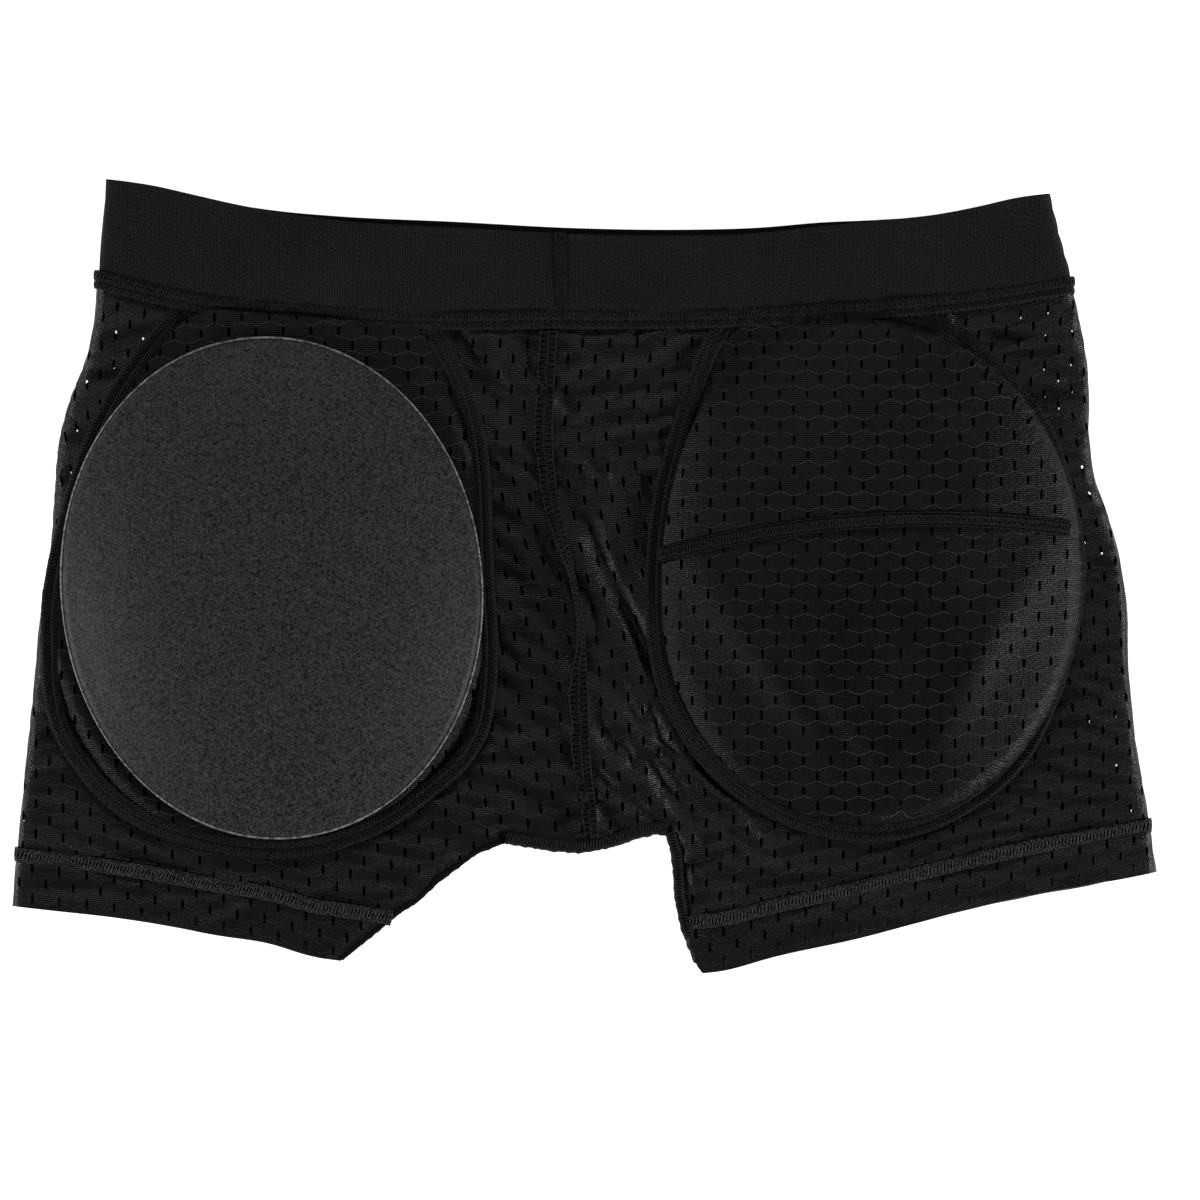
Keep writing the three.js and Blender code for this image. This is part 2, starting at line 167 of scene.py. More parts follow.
inner_edge = [
    (-96, -152), (-92, -146), (-78, -134.6), (-70, -128), (-64, -124.4), (-55, -116), (-41, -105.6),
    (-30, -101.4), (-12, -104.2), (-2, -105), (9, -103), (20, -99.4), (27, -97.6), (31.2, -98),
    (33.4, -106), (34.4, -122), (36.6, -133), (42, -147), (46, -155),
]
FAR_BELOW = -400.0


def inner_y(x):
    xs, ys = zip(*inner_edge)
    return np.interp(x, xs, ys, left=FAR_BELOW, right=FAR_BELOW)


def hem_y(x):
    return np.where(x < 0, hem_left(x), hem_right(x))


seam_y = curve(
    [(-200, 118), (-186, 113), (-149, 104), (-105, 99.6), (-62, 97), (-12, 97.2), (49, 97.6),
     (107, 100.8), (151, 105), (186, 110.6), (200, 113)]
)


def edge_distance(x, y, line):
    """How far each point is from a line of points."""
    best = np.full(np.shape(x), 1e9)
    for (ax, ay), (bx, by) in zip(line, line[1:]):
        dx, dy = bx - ax, by - ay
        s = np.clip(((x - ax) * dx + (y - ay) * dy) / (dx * dx + dy * dy), 0, 1)
        best = np.minimum(best, np.hypot(x - ax - s * dx, y - ay - s * dy))
    return best


def crease(x, y, at, angle, length, width, rise):
    """One soft fold: a ridge with a shallow valley beside it."""
    c, s = math.cos(math.radians(angle)), math.sin(math.radians(angle))
    along = ((x - at[0]) * c + (y - at[1]) * s) / length
    across = (-(x - at[0]) * s + (y - at[1]) * c) / width
    across = across + 0.35 * along * along
    ridge = np.exp(-across * across) - 0.55 * np.exp(-((across - 1.7) ** 2))
    return rise * ridge * np.exp(-along * along)


rng = random.Random(7)
creases = []


def scatter_creases(count, xs, ys, angles, lengths, widths, rises):
    """Small creases at chance places in one region of the cloth."""
    for _ in range(count):
        at = (rng.uniform(*xs), rng.uniform(*ys))
        rise = rng.uniform(*rises) * rng.choice((1, 1, -0.8))
        creases.append((at, rng.uniform(*angles), rng.uniform(*lengths), rng.uniform(*widths), rise))


scatter_creases(80, (-205, -172), (-100, 96), (-16, 18), (8, 22), (1.3, 2.6), (0.5, 1.3))
scatter_creases(150, (158, 206), (-96, 98), (-16, 12), (8, 26), (1.2, 2.6), (0.5, 1.5))
scatter_creases(60, (120, 186), (50, 98), (-26, 14), (8, 18), (1.3, 2.6), (0.5, 1.2))
scatter_creases(50, (-4, 40), (40, 94), (-6, 34), (8, 20), (1.3, 2.8), (0.5, 1.4))
scatter_creases(50, (-40, -8), (-50, 92), (-58, -20), (10, 24), (1.6, 3.4), (0.5, 1.3))
scatter_creases(70, (-2, 32), (-90, 44), (-78, -44), (12, 30), (1.4, 3.2), (0.5, 1.3))
scatter_creases(44, (-48, 2), (-100, -50), (-40, 10), (10, 26), (1.5, 3.0), (0.5, 1.2))
scatter_creases(80, (-208, -40), (-124, -96), (-18, 4), (10, 26), (1.3, 2.6), (0.5, 1.4))
scatter_creases(90, (30, 206), (-130, -96), (2, 26), (8, 26), (1.3, 2.8), (0.5, 1.4))
scatter_creases(60, (-2, 62), (-112, -60), (-66, -16), (7, 20), (1.4, 3.0), (0.7, 1.8))
scatter_creases(60, (-150, 150), (80, 97), (60, 120), (5, 14), (1.3, 2.4), (0.4, 1.1))
scatter_creases(160, (-200, 200), (-146, 96), (-30, 30), (6, 16), (1.3, 2.8), (0.25, 0.7))
creases += [
    ((-34, 68), -52, 30, 6.5, -2.0),
    ((-26, 76), -50, 26, 4.0, 1.2),
    ((4, -6), -62, 34, 4.0, 1.6),
    ((12, -2), -64, 30, 4.0, -1.8),
    ((-48, -88), -14, 22, 2.6, 2.2),
    ((-60, -94), -8, 20, 2.4, -1.2),
    ((17, -78), -50, 22, 3.0, 2.0),
    ((28, -92), -60, 14, 2.4, -1.6),
    ((22, -64), -40, 20, 2.8, 1.3),
    ((-22, 20), -84, 46, 5.0, 0.8),
    ((-52, 30), -86, 80, 19.0, -1.7),
    ((14, 22), 82, 50, 5.0, 0.9),
]


def wrinkles(x, y):
    total = np.zeros(np.shape(x))
    for one in creases:
        total = total + crease(x, y, *one)
    return total


BACK_LEVEL = 6.3  # height of the upper layer of cloth
FRONT_LEVEL = 1.45  # and of the lower one
FOLD = 1.9  # radius of the side folds
TURN = 6.0  # how gently the cloth turns under at a side, in square millimetres
WRINKLE_SHARE, DEEPEST, HIGHEST = 0.9, -2.8, 1.25


def back_z(x, y):
    return BACK_LEVEL + np.clip(WRINKLE_SHARE * wrinkles(x, y), DEEPEST, HIGHEST)


def front_z(x, y):
    return FRONT_LEVEL + 0.35 * (1 + np.sin(x / 9.0 + 1.3 * np.sin(y / 13.0)))


PITCH = 10.4  # between slits along a row
ROW = 5.75  # between rows
DROP = 250.0  # hem to waist seam, as cut
HALF_ROUND = 452.0  # more than the way round half of the body, from seam to seam
BESIDE = 0.5  # from a slit's middle to the columns on each side of it
SLIT_LINES = (-BESIDE, BESIDE, PITCH / 4, PITCH / 2 - BESIDE, PITCH / 2 + BESIDE, 3 * PITCH / 4)
LENS_MIDDLE, LENS_END, LENS_BETWEEN = 0.62, 0.36, 0.46  # half widths along a column of slits
UNDER_SHIFT = 2.9  # the lower layer's rows of slits lie between those of the upper layer
NEAR_ACROSS, NEAR_ALONG = 1.5, 2.4  # closer than this, one slit is seen through another


def knit_lines(start, end):
    """Columns of the knit from start to end, and which column of the pattern each one is."""
    first, last = math.floor(start / PITCH) - 1, math.ceil(end / PITCH) + 1
    lines = [(k * PITCH + off, n) for k in range(first, last) for n, off in enumerate(SLIT_LINES)]
    kept = [pair for pair in lines if start - 0.2 <= pair[0] <= end + 0.2]
    return np.array([p[0] for p in kept]), np.array([p[1] for p in kept])


def knit_rows(start, end):
    first, last = math.ceil(start / (ROW / 3)), math.floor(end / (ROW / 3))
    index = np.arange(first, last + 1)
    return index * (ROW / 3), index


def shaped_slits(u, kind, index):
    """Moves the columns beside each slit so that it is a lens 1.2 mm wide."""
    grid = np.repeat(u[None, :], len(index), 0)
    row = np.round(index / 3).astype(int)
    middle = (index - 3 * row) == 0
    for kinds, parity in (((0, 1), 0), ((3, 4), 1)):
        open_row = (row % 2) == parity
        half = np.where(open_row, np.where(middle, LENS_MIDDLE, LENS_END), LENS_BETWEEN)
        for which, sign in zip(kinds, (-1, 1)):
            cols = kind == which
            grid[:, cols] += sign * (half[:, None] - BESIDE)
    return grid


def slit_faces(kind, index):
    """True where the quad above and right of each vertex is part of a slit."""
    row_low = np.round(index[:-1] / 3).astype(int)
    row_high = np.round(index[1:] / 3).astype(int)
    in_slit = row_low == row_high
    opened = np.zeros((len(index) - 1, len(kind) - 1), bool)
    for which, parity in ((0, 0), (3, 1)):
        rows = in_slit & ((row_low % 2) == parity)
        cols = kind[:-1] == which
        opened |= rows[:, None] & cols[None, :]
    return opened


def without_see_through(opened, index, u, x, y, top):
    """Leaves out the slits of the lower layer that lie just under a slit of the upper one."""
    row = np.round(index[:-1] / 3).astype(int)
    at_row, at_col = np.nonzero(opened)
    face_x, face_y, face_top = (
        (g[:-1, :-1] + g[1:, :-1] + g[:-1, 1:] + g[1:, 1:])[at_row, at_col] / 4 for g in (x, y, top)
    )
    upper = face_top > 0.5
    lower = np.nonzero(~upper & (u[at_col] > HALF_ROUND / 2))[0]
    near_x = np.abs(face_x[lower, None] - face_x[None, upper]) < NEAR_ACROSS
    near_y = np.abs(face_y[lower, None] - face_y[None, upper]) < NEAR_ALONG
    shut = opened.copy()
    for one in lower[(near_x & near_y).any(1)]:
        shut[row == row[at_row[one]], at_col[one]] = False
    return shut


def all_corners(lost):
    """True for the quads with all four corners lost."""
    return lost[:-1, :-1] & lost[:-1, 1:] & lost[1:, :-1] & lost[1:, 1:]


def grid_mesh(name, x, y, z, u, v, drop, thickness):
    """A sheet from grids of places in millimetres, without the faces marked in drop."""
    rows, cols = x.shape
    index = np.arange(rows * cols).reshape(rows, cols)
    corners = [index[:-1, :-1], index[:-1, 1:], index[1:, 1:], index[1:, :-1]]
    quads = np.stack(corners, axis=-1)[~drop]
    used, quads = np.unique(quads, return_inverse=True)
    quads = quads.reshape(-1, 4)
    places = np.stack([x.ravel(), y.ravel(), z.ravel()], -1)[used] * MM
    pattern = np.stack([u.ravel(), v.ravel()], -1)[used]
    mesh = bpy.data.meshes.new(name)
    mesh.from_pydata(places.tolist(), [], quads.tolist())
    layer = mesh.uv_layers.new(name="knit")
    layer.data.foreach_set("uv", pattern[quads.ravel()].astype(np.float32).ravel())
    obj = bpy.data.objects.new(name, mesh)
    bpy.context.scene.collection.objects.link(obj)
    work = bmesh.new()
    work.from_mesh(mesh)
    bmesh.ops.remove_doubles(work, verts=work.verts, dist=0.00002)
    bmesh.ops.dissolve_degenerate(work, edges=work.edges, dist=0.00001)
    for face in work.faces:
        face.smooth = True
    for edge in work.edges:
        edge.smooth = not edge.is_boundary
    work.to_mesh(mesh)
    work.free()
    wall = obj.modifiers.new("thickness", "SOLIDIFY")
    wall.thickness = thickness * MM
    wall.offset = 0
    wall.use_rim = True
    return obj


def cut_area(u, v, drop):
    """Flat area in square metres of the cloth that a grid keeps."""
    each = (u[:-1, 1:] - u[:-1, :-1]) * (v[1:, :-1] - v[:-1, :-1])
    return float(each[~drop].sum()) * MM * MM


def cloth_y(x, v):
    """Where cloth that was cut v above the hem comes, at x."""
    return hem_y(x) + v * (seam_y(x) - hem_y(x)) / DROP


def folded(side, u_grid, v_grid):
    """Plan places of cloth that starts at the centre back and turns under at a side.

    Also how far up each place is, from 0, the lower layer, to 1, and whether it is past the end.
    """
    v = v_grid[:, :1]
    x_side = np.full(v.shape, side * 200.0)
    for _ in range(4):  # each round comes closer to the side line
        x_side = sides[side](cloth_y(x_side, v))
    x_centre = seam_x(cloth_y(MIDDLE, v))
    reach = np.abs(x_side - x_centre) + FOLD
    length = np.sqrt(reach**2 - FOLD**2)
    t = length - u_grid
    root = np.sqrt(t * t + FOLD * FOLD)
    x = x_side - side * (root - FOLD)
    beyond = side * (x - x_centre) < -1e-9
    x = np.where(beyond, np.broadcast_to(x_centre, x.shape), x)
    top = 0.5 + 0.5 * t / np.sqrt(t * t + TURN)
    return x, cloth_y(x, v_grid), top, beyond


MIDDLE_Z = 3.0  # where the two layers meet
CLOSING = 9.0  # how far from the crotch and inseams the layers draw together
SEWN_SHARE = 0.25  # of their distance apart that they keep at the seams


def closing(x, y):
    """0 at the crotch and inseams, where the layers are sewn together, and 1 well inside."""
    return smoothstep(edge_distance(x, y, inner_edge[1:-2]) / CLOSING)


def body_z(x, y, top, lift=0.0):
    """Height of the cloth, from 0, the lower layer, to 1, the upper one."""
    share = SEWN_SHARE + (1 - SEWN_SHARE) * closing(x, y)
    z_top = MIDDLE_Z + (back_z(x, y) + lift - MIDDLE_Z) * share
    z_bottom = MIDDLE_Z + (front_z(x, y) - MIDDLE_Z) * share
    return z_bottom + (z_top - z_bottom) * top


def knit_panel(name, side, v_from, v_to, thickness, shift=0.0, lift=0.0, slide=0.0, under=0.0):
    """Cloth round one half of the body, from v_from to v_to above the hem, and its cut area.

    shift and slide move its slits across and along, lift raises its upper layer, and under is how
    much further along the slits of its lower layer lie.
    """
    u, kind = knit_lines(0, HALF_ROUND)
    v, index = knit_rows(v_from, v_to)
    u_grid = shaped_slits(u, kind, index)
    v_grid = np.repeat(v[:, None], len(u), 1) + slide
    x, y, top, beyond = folded(side, u_grid + shift, v_grid)
    if under:
        v_moved = np.minimum(v_grid + under * (1 - top), DROP + 1)
        x, y, top, beyond = folded(side, u_grid + shift, v_moved)
    floor_y = inner_y(x)
    outside = y < floor_y
    y = np.where(outside, floor_y, y)
    z = body_z(x, y, top, lift)
    slits = slit_faces(kind, index)
    if under:
        slits = without_see_through(slits, index, u, x, y, top)
    drop = all_corners(outside | beyond) | slits
    obj = grid_mesh(name, x, y, z, u_grid / PITCH, v_grid / ROW, drop, thickness)
    if side < 0:
        obj.data.flip_normals()
    return obj, cut_area(u_grid, v_grid, drop)


def principled(name, colour, roughness):
    """A new material, with its nodes, links and shader."""
    mat = bpy.data.materials.new(name)
    mat.use_nodes = True
    shader = mat.node_tree.nodes["Principled BSDF"]
    shader.inputs["Base Color"].default_value = (*colour, 1)
    shader.inputs["Roughness"].default_value = roughness
    return mat, mat.node_tree.nodes, mat.node_tree.links, shader


def add(nodes, kind, **settings):
    """A node with these inputs or settings."""
    node = nodes.new(kind)
    for key, value in settings.items():
        if key in node.inputs:
            node.inputs[key].default_value = value
        else:
            setattr(node, key, value)
    return node


def maths(nodes, links, operation, *values):
    """The result of a sum on numbers and other nodes' outputs."""
    node = nodes.new("ShaderNodeMath")
    node.operation = operation
    for i, value in enumerate(values):
        if isinstance(value, (int, float)):
            node.inputs[i].default_value = value
        else:
            links.new(value, node.inputs[i])
    return node.outputs[0]


def knit_material(name, dark, pale, float_strength, shine, matt):
    """Black warp knit: fine courses, a soft shine on the folds, and dotted floats between slits."""
    mat, nodes, links, shader = principled(name, dark, 0.5)
    uv = add(nodes, "ShaderNodeUVMap", uv_map="knit")
    split = add(nodes, "ShaderNodeSeparateXYZ")
    links.new(uv.outputs[0], split.inputs[0])
    u, v = split.outputs[0], split.outputs[1]
    # The floats slant from slit to slit, as dotted lines that fade out in places.
    step = maths(nodes, links, "PINGPONG", maths(nodes, links, "ADD", u, 100.0), 0.5)
    lift = maths(nodes, links, "PINGPONG", maths(nodes, links, "ADD", v, 100.0), 1.0)
    line = maths(nodes, links, "MULTIPLY_ADD", step, 0.667, 0.333)
    away = maths(nodes, links, "ABSOLUTE", maths(nodes, links, "SUBTRACT", lift, line))
    on_line = maths(nodes, links, "LESS_THAN", away, 0.032)
    beads = maths(nodes, links, "SINE", maths(nodes, links, "MULTIPLY", step, 2 * math.pi * 12))
    on_bead = maths(nodes, links, "GREATER_THAN", beads, -0.1)
    patch = add(nodes, "ShaderNodeTexNoise", Scale=0.9, Detail=2.0)
    links.new(uv.outputs[0], patch.inputs["Vector"])
    some = maths(nodes, links, "GREATER_THAN", patch.outputs["Fac"], 0.42)
    dots = maths(nodes, links, "MULTIPLY", maths(nodes, links, "MULTIPLY", on_line, on_bead), some)
    # The knit itself: courses along its rows, a fine grain, and broad cloudy patches.
    courses = add(nodes, "ShaderNodeTexWave", bands_direction="Y", Scale=2.2, Distortion=1.5)
    courses.inputs["Detail"].default_value = 2.0
    courses.inputs["Detail Scale"].default_value = 3.0
    links.new(uv.outputs[0], courses.inputs["Vector"])
    place = add(nodes, "ShaderNodeTexCoord")
    mottle = add(nodes, "ShaderNodeTexNoise", Scale=55.0, Detail=4.0)
    links.new(place.outputs["Object"], mottle.inputs["Vector"])
    grain = add(nodes, "ShaderNodeTexNoise", Scale=1300.0, Detail=1.0)
    links.new(place.outputs["Object"], grain.inputs["Vector"])
    shade = add(nodes, "ShaderNodeMix", data_type="RGBA")
    shade.inputs[6].default_value = (*[c * 0.3 for c in dark], 1)
    shade.inputs[7].default_value = (*[c * 2.3 for c in dark], 1)
    both = maths(nodes, links, "MULTIPLY_ADD", mottle.outputs["Fac"], 0.7, -0.75)
    both = maths(nodes, links, "MULTIPLY_ADD", courses.outputs["Fac"], 0.5, both)
    both = maths(nodes, links, "MULTIPLY_ADD", grain.outputs["Fac"], 1.2, both)
    links.new(both, shade.inputs[0])
    final = add(nodes, "ShaderNodeMix", data_type="RGBA")
    links.new(maths(nodes, links, "MULTIPLY", dots, float_strength), final.inputs[0])
    links.new(shade.outputs[2], final.inputs[6])
    final.inputs[7].default_value = (*pale, 1)
    links.new(final.outputs[2], shader.inputs["Base Color"])
    rough = maths(nodes, links, "MULTIPLY_ADD", mottle.outputs["Fac"], 0.16, matt)
    links.new(rough, shader.inputs["Roughness"])
    height = maths(nodes, links, "MULTIPLY_ADD", courses.outputs["Fac"], 0.5, grain.outputs["Fac"])
    height = maths(nodes, links, "MULTIPLY_ADD", dots, 1.5, height)
    bump = add(nodes, "ShaderNodeBump", Strength=0.7, Distance=0.0003)
    links.new(height, bump.inputs["Height"])
    links.new(bump.outputs[0], shader.inputs["Normal"])
    shader.inputs["Specular IOR Level"].default_value = shine
    return mat


body_knit = knit_material(
    "mesh_knit",
    dark=(0.0036, 0.0038, 0.0037),
    pale=(0.045, 0.046, 0.043),
    float_strength=0.45,
    shine=0.36,
    matt=0.33,
)
CLOTH = 0.42
HEM_TOP = 20.0  # height of the hem, up to its stitching
for side, name in ((-1, "left"), (1, "right")):
    panel, area = knit_panel(
        f"{name}_panel_cloth", side, HEM_TOP - 2, DROP, thickness=CLOTH, under=UNDER_SHIFT
    )
    panel.data.materials.append(body_knit)
    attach(panel, "shorts")
    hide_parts(f"{name}_panel")


# ---- Leg hems ----
# The end of each leg is turned up once, so the hem is two layers of the same knit. Its raw edge is
# held under the cover stitches, and the fold runs between two rows of slits.
HEM_LIFT = 0.35
THIRD = ROW / 3
for side, name in ((-1, "left"), (1, "right")):
    hem, area = knit_panel(
        f"{name}_hem_cloth", side, THIRD, HEM_TOP + 3, 2 * CLOTH, shift=1.3, lift=HEM_LIFT, slide=-THIRD
    )
    hem.data.materials.append(body_knit)
    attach(hem, "shorts")
    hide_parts(f"{name}_hem")


# ---- Hem cover-stitching ----
# A row of cover stitches holds each hem: two needle lines with looper thread zigzagging between them
# in close chevrons. The thread is textured nylon, a little browner than the knit.
def spaced(points, step):
    """Points at even steps along a line, and how far along it each one is."""
    points = np.asarray(points, float)
    run = np.concatenate([[0], np.cumsum(np.linalg.norm(np.diff(points[:, :3], axis=0), axis=1))])
    count = max(2, int(round(run[-1] / step)))
    t = np.linspace(0, run[-1], count + 1)
    return np.stack([np.interp(t, run, points[:, k]) for k in range(points.shape[1])], -1), t


class Seam:
    """A line on the cloth, with the cloth's own up at each point, that threads are laid along."""

    def __init__(self, places, ups):
        both, self.t = spaced(np.hstack([places, ups]), 0.5)
        self.places, self.ups = both[:, :3], both[:, 3:]
        self.ups /= np.linalg.norm(self.ups, axis=1)[:, None]
        along = np.gradient(self.places, axis=0)
        along /= np.linalg.norm(along, axis=1)[:, None]
        self.sides = np.cross(self.ups, along)
        self.length = self.t[-1]

    def at(self, t, across, height):
        def pick(grid):
            return np.stack([np.interp(t, self.t, grid[:, k]) for k in range(3)], -1)

        across, height = np.asarray(across)[..., None], np.asarray(height)[..., None]
        return pick(self.places) + pick(self.sides) * across + pick(self.ups) * height


SEAM_CLOTH, SEAM_THREAD = 0, 1  # which of a seam's two materials a chunk has


def tube(points, radius, sides=4, material=SEAM_THREAD):
    """A thread through these points, as a chunk: its points, faces and material."""
    along = np.gradient(points, axis=0)
    along /= np.linalg.norm(along, axis=1)[:, None] + 1e-9
    flat = np.cross(along, np.array([0.13, 0.21, 0.97]))
    flat /= np.linalg.norm(flat, axis=1)[:, None] + 1e-9
    up = np.cross(flat, along)
    rings = []
    for k in range(sides):
        a = 2 * math.pi * k / sides
        rings.append(points + radius * (math.cos(a) * flat + math.sin(a) * up))
    verts = np.stack(rings, 1).reshape(-1, 3)
    n = len(points)
    i = np.arange(n - 1)[:, None] * sides
    k = np.arange(sides)[None, :]
    nxt = (k + 1) % sides
    quads = np.stack([i + k, i + nxt, i + sides + nxt, i + sides + k], -1).reshape(-1, 4)
    caps = [list(range(sides - 1, -1, -1)), [(n - 1) * sides + j for j in range(sides)]]
    return verts, quads.tolist() + caps, material


def strip_faces(count, sides):
    """Faces of a closed bar of count rings, each with this many points."""
    i = np.arange(count - 1)[:, None] * sides
    k = np.arange(sides)[None, :]
    nxt = (k + 1) % sides
    quads = np.stack([i + k, i + sides + k, i + sides + nxt, i + nxt], -1).reshape(-1, 4)
    caps = [list(range(sides)), [(count - 1) * sides + j for j in range(sides - 1, -1, -1)]]
    return quads.tolist() + caps


def band(seam, width, rise, sink, rough=0.12):
    """A low rounded strip of pressed cloth along a seam."""
    count = max(3, int(seam.length / 1.2))
    t = np.linspace(0, seam.length, count)
    share = np.linspace(-1, 1, 7)
    lumps = random.Random(int(seam.length * 10))
    verts = []
    for one in share:
        wobble = np.array([lumps.uniform(-1, 1) for _ in t])
        height = rise * (1 - abs(one) ** 2.6) * 0.8 + 0.2 * rise + rough * wobble
        edge = 0.25 * wobble if abs(one) == 1 else 0
        verts.append(seam.at(t, one * width / 2 + edge, height if abs(one) < 1 else 0 * height))
    for one in (0.9, -0.9):
        verts.append(seam.at(t, np.full(count, one * width / 2), np.full(count, -sink)))
    faces = strip_faces(count, len(verts))
    return np.stack(verts, 1).reshape(-1, 3), faces, SEAM_CLOTH


def zigzag(seam, width, pitch, height, radius, phase=0.0, lean=0.0, middle=0.0):
    """Looper thread that swings from side to side of a seam, once every pitch."""
    t = np.arange(0, seam.length, pitch / 8)
    swing = np.sin(2 * math.pi * (t / pitch + phase))
    swing = np.sign(swing) * np.abs(swing) ** 0.75
    lay = height * (1 - 0.2 * swing**2)
    shifted = np.clip(t + lean * swing, 0, seam.length)
    return tube(seam.at(shifted, middle + swing * width / 2, lay), radius)


def needle_line(seam, across, pitch, height, radius):
    """A line of needle stitches, each dipping into the cloth at its ends."""
    t = np.arange(0, seam.length, pitch / 4)
    dip = height * (0.35 + 0.65 * np.abs(np.sin(math.pi * t / pitch)))
    return tube(seam.at(t, np.full(len(t), across), dip), radius)


def joined(name, chunks, materials):
    """One mesh object from chunks in millimetres."""
    verts, faces, kinds, base = [], [], [], 0
    for points, quads, material in chunks:
        verts.append(points)
        faces += [[base + i for i in face] for face in quads]
        kinds += [material] * len(quads)
        base += len(points)
    mesh = bpy.data.meshes.new(name)
    mesh.from_pydata((np.concatenate(verts) * MM).tolist(), [], faces)
    mesh.polygons.foreach_set("material_index", kinds)
    mesh.polygons.foreach_set("use_smooth", [True] * len(faces))
    for one in materials:
        mesh.materials.append(one)
    obj = bpy.data.objects.new(name, mesh)
    bpy.context.scene.collection.objects.link(obj)
    work = bmesh.new()
    work.from_mesh(mesh)
    bmesh.ops.recalc_face_normals(work, faces=work.faces)
    work.to_mesh(mesh)
    work.free()
    return obj


def thread_material(name, dark, light):
    """Textured nylon thread: matt, fuzzy, with paler filaments."""
    mat, nodes, links, shader = principled(name, dark, 0.62)
    place = add(nodes, "ShaderNodeTexCoord")
    fibre = add(nodes, "ShaderNodeTexNoise", Scale=1500.0, Detail=3.0)
    links.new(place.outputs["Object"], fibre.inputs["Vector"])
    ramp = add(nodes, "ShaderNodeValToRGB")
    ramp.color_ramp.elements[0].position = 0.42
    ramp.color_ramp.elements[0].color = (*dark, 1)
    ramp.color_ramp.elements[1].position = 0.72
    ramp.color_ramp.elements[1].color = (*light, 1)
    links.new(fibre.outputs["Fac"], ramp.inputs[0])
    links.new(ramp.outputs[0], shader.inputs["Base Color"])
    bump = add(nodes, "ShaderNodeBump", Strength=0.5, Distance=0.0001)
    links.new(fibre.outputs["Fac"], bump.inputs["Height"])
    links.new(bump.outputs[0], shader.inputs["Normal"])
    shader.inputs["Specular IOR Level"].default_value = 0.2
    return mat


def pressed_material(name, dark):
    """Knit pressed flat under stitches: black, with a fine rough grain."""
    mat, nodes, links, shader = principled(name, dark, 0.75)
    place = add(nodes, "ShaderNodeTexCoord")
    grain = add(nodes, "ShaderNodeTexVoronoi", Scale=1100.0)
    links.new(place.outputs["Object"], grain.inputs["Vector"])
    ramp = add(nodes, "ShaderNodeValToRGB")
    ramp.color_ramp.elements[0].color = (*[c * 1.7 for c in dark], 1)
    ramp.color_ramp.elements[1].color = (*[c * 0.6 for c in dark], 1)
    links.new(grain.outputs["Distance"], ramp.inputs[0])
    links.new(ramp.outputs[0], shader.inputs["Base Color"])
    bump = add(nodes, "ShaderNodeBump", Strength=0.6, Distance=0.0002)
    links.new(grain.outputs["Distance"], bump.inputs["Height"])
    links.new(bump.outputs[0], shader.inputs["Normal"])
    shader.inputs["Specular IOR Level"].default_value = 0.12
    return mat


def outward(side, top):
    """The way out of the tube: up on its upper layer, sideways at a fold and down below."""
    up = 2 * top - 1
    around = side * np.sqrt(np.clip(1 - up * up, 0, 1))
    return np.stack([around, 0 * around, up], -1)


def leg_seam(side, v, lift):
    """The line round a leg at height v above its hem, and out from the tube."""
    u = np.arange(0.0, HALF_ROUND, 1.0)[None, :]
    x, y, top, beyond = folded(side, u, np.full(u.shape, float(v)))
    z = body_z(x, y, top, lift)
    keep = ~beyond[0] & (y[0] > inner_y(x[0]) + 0.6)
    return np.stack([x[0], y[0], z[0]], -1)[keep], outward(side, top[0])[keep]


seam_cloth = pressed_material("pressed_knit", (0.0019, 0.0019, 0.0018))
hem_thread = thread_material("hem_thread", (0.008, 0.0075, 0.007), (0.11, 0.104, 0.097))
seam_thread = thread_material("seam_thread", (0.004, 0.004, 0.0038), (0.031, 0.0305, 0.029))
COVER_WIDTH = 6.4
COVER_NEEDLES = 5.0  # between the two needle lines
COVER_PITCH = 2.7
for side, name in ((-1, "left"), (1, "right")):
    line = Seam(*leg_seam(side, HEM_TOP, HEM_LIFT))
    chunks = [band(line, COVER_WIDTH, rise=0.7, sink=0.5)]
    for phase in (0.0, 0.5):
        chunks.append(
            zigzag(line, COVER_NEEDLES, COVER_PITCH, height=1.05, radius=0.36, phase=phase, lean=0.7)
        )
    for across in (-COVER_NEEDLES / 2, COVER_NEEDLES / 2):
        chunks.append(needle_line(line, across, COVER_PITCH, height=1.0, radius=0.28))
    stitching = joined(f"{name}_hem_cover_stitch", chunks, [seam_cloth, hem_thread])
    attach(stitching, "shorts")
    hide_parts(f"{name}_hem_stitching")


# ---- Waist seam ----
# The body is overlocked to the lower edge of the elastic. The seam runs right round the waist, and
# gathers the knit a little.
WAIST_LIFT = 1.3
WAIST_PITCH = 2.4


def waist_loop():
    """The closed line of the waist seam, and out from the body."""
    halves = []
    for side in (-1, 1):
        u = np.arange(0.0, HALF_ROUND, 1.0)[None, :]
        x, _, top, beyond = folded(side, u, np.full(u.shape, DROP))
        y = seam_y(x)
        z = body_z(x, y, top, WAIST_LIFT)
        half = np.hstack([np.stack([x[0], y[0], z[0]], -1), outward(side, top[0])])[~beyond[0]]
        halves.append(half if side > 0 else half[::-1])
    both = np.concatenate(halves)
    return both[:, :3], both[:, 3:]


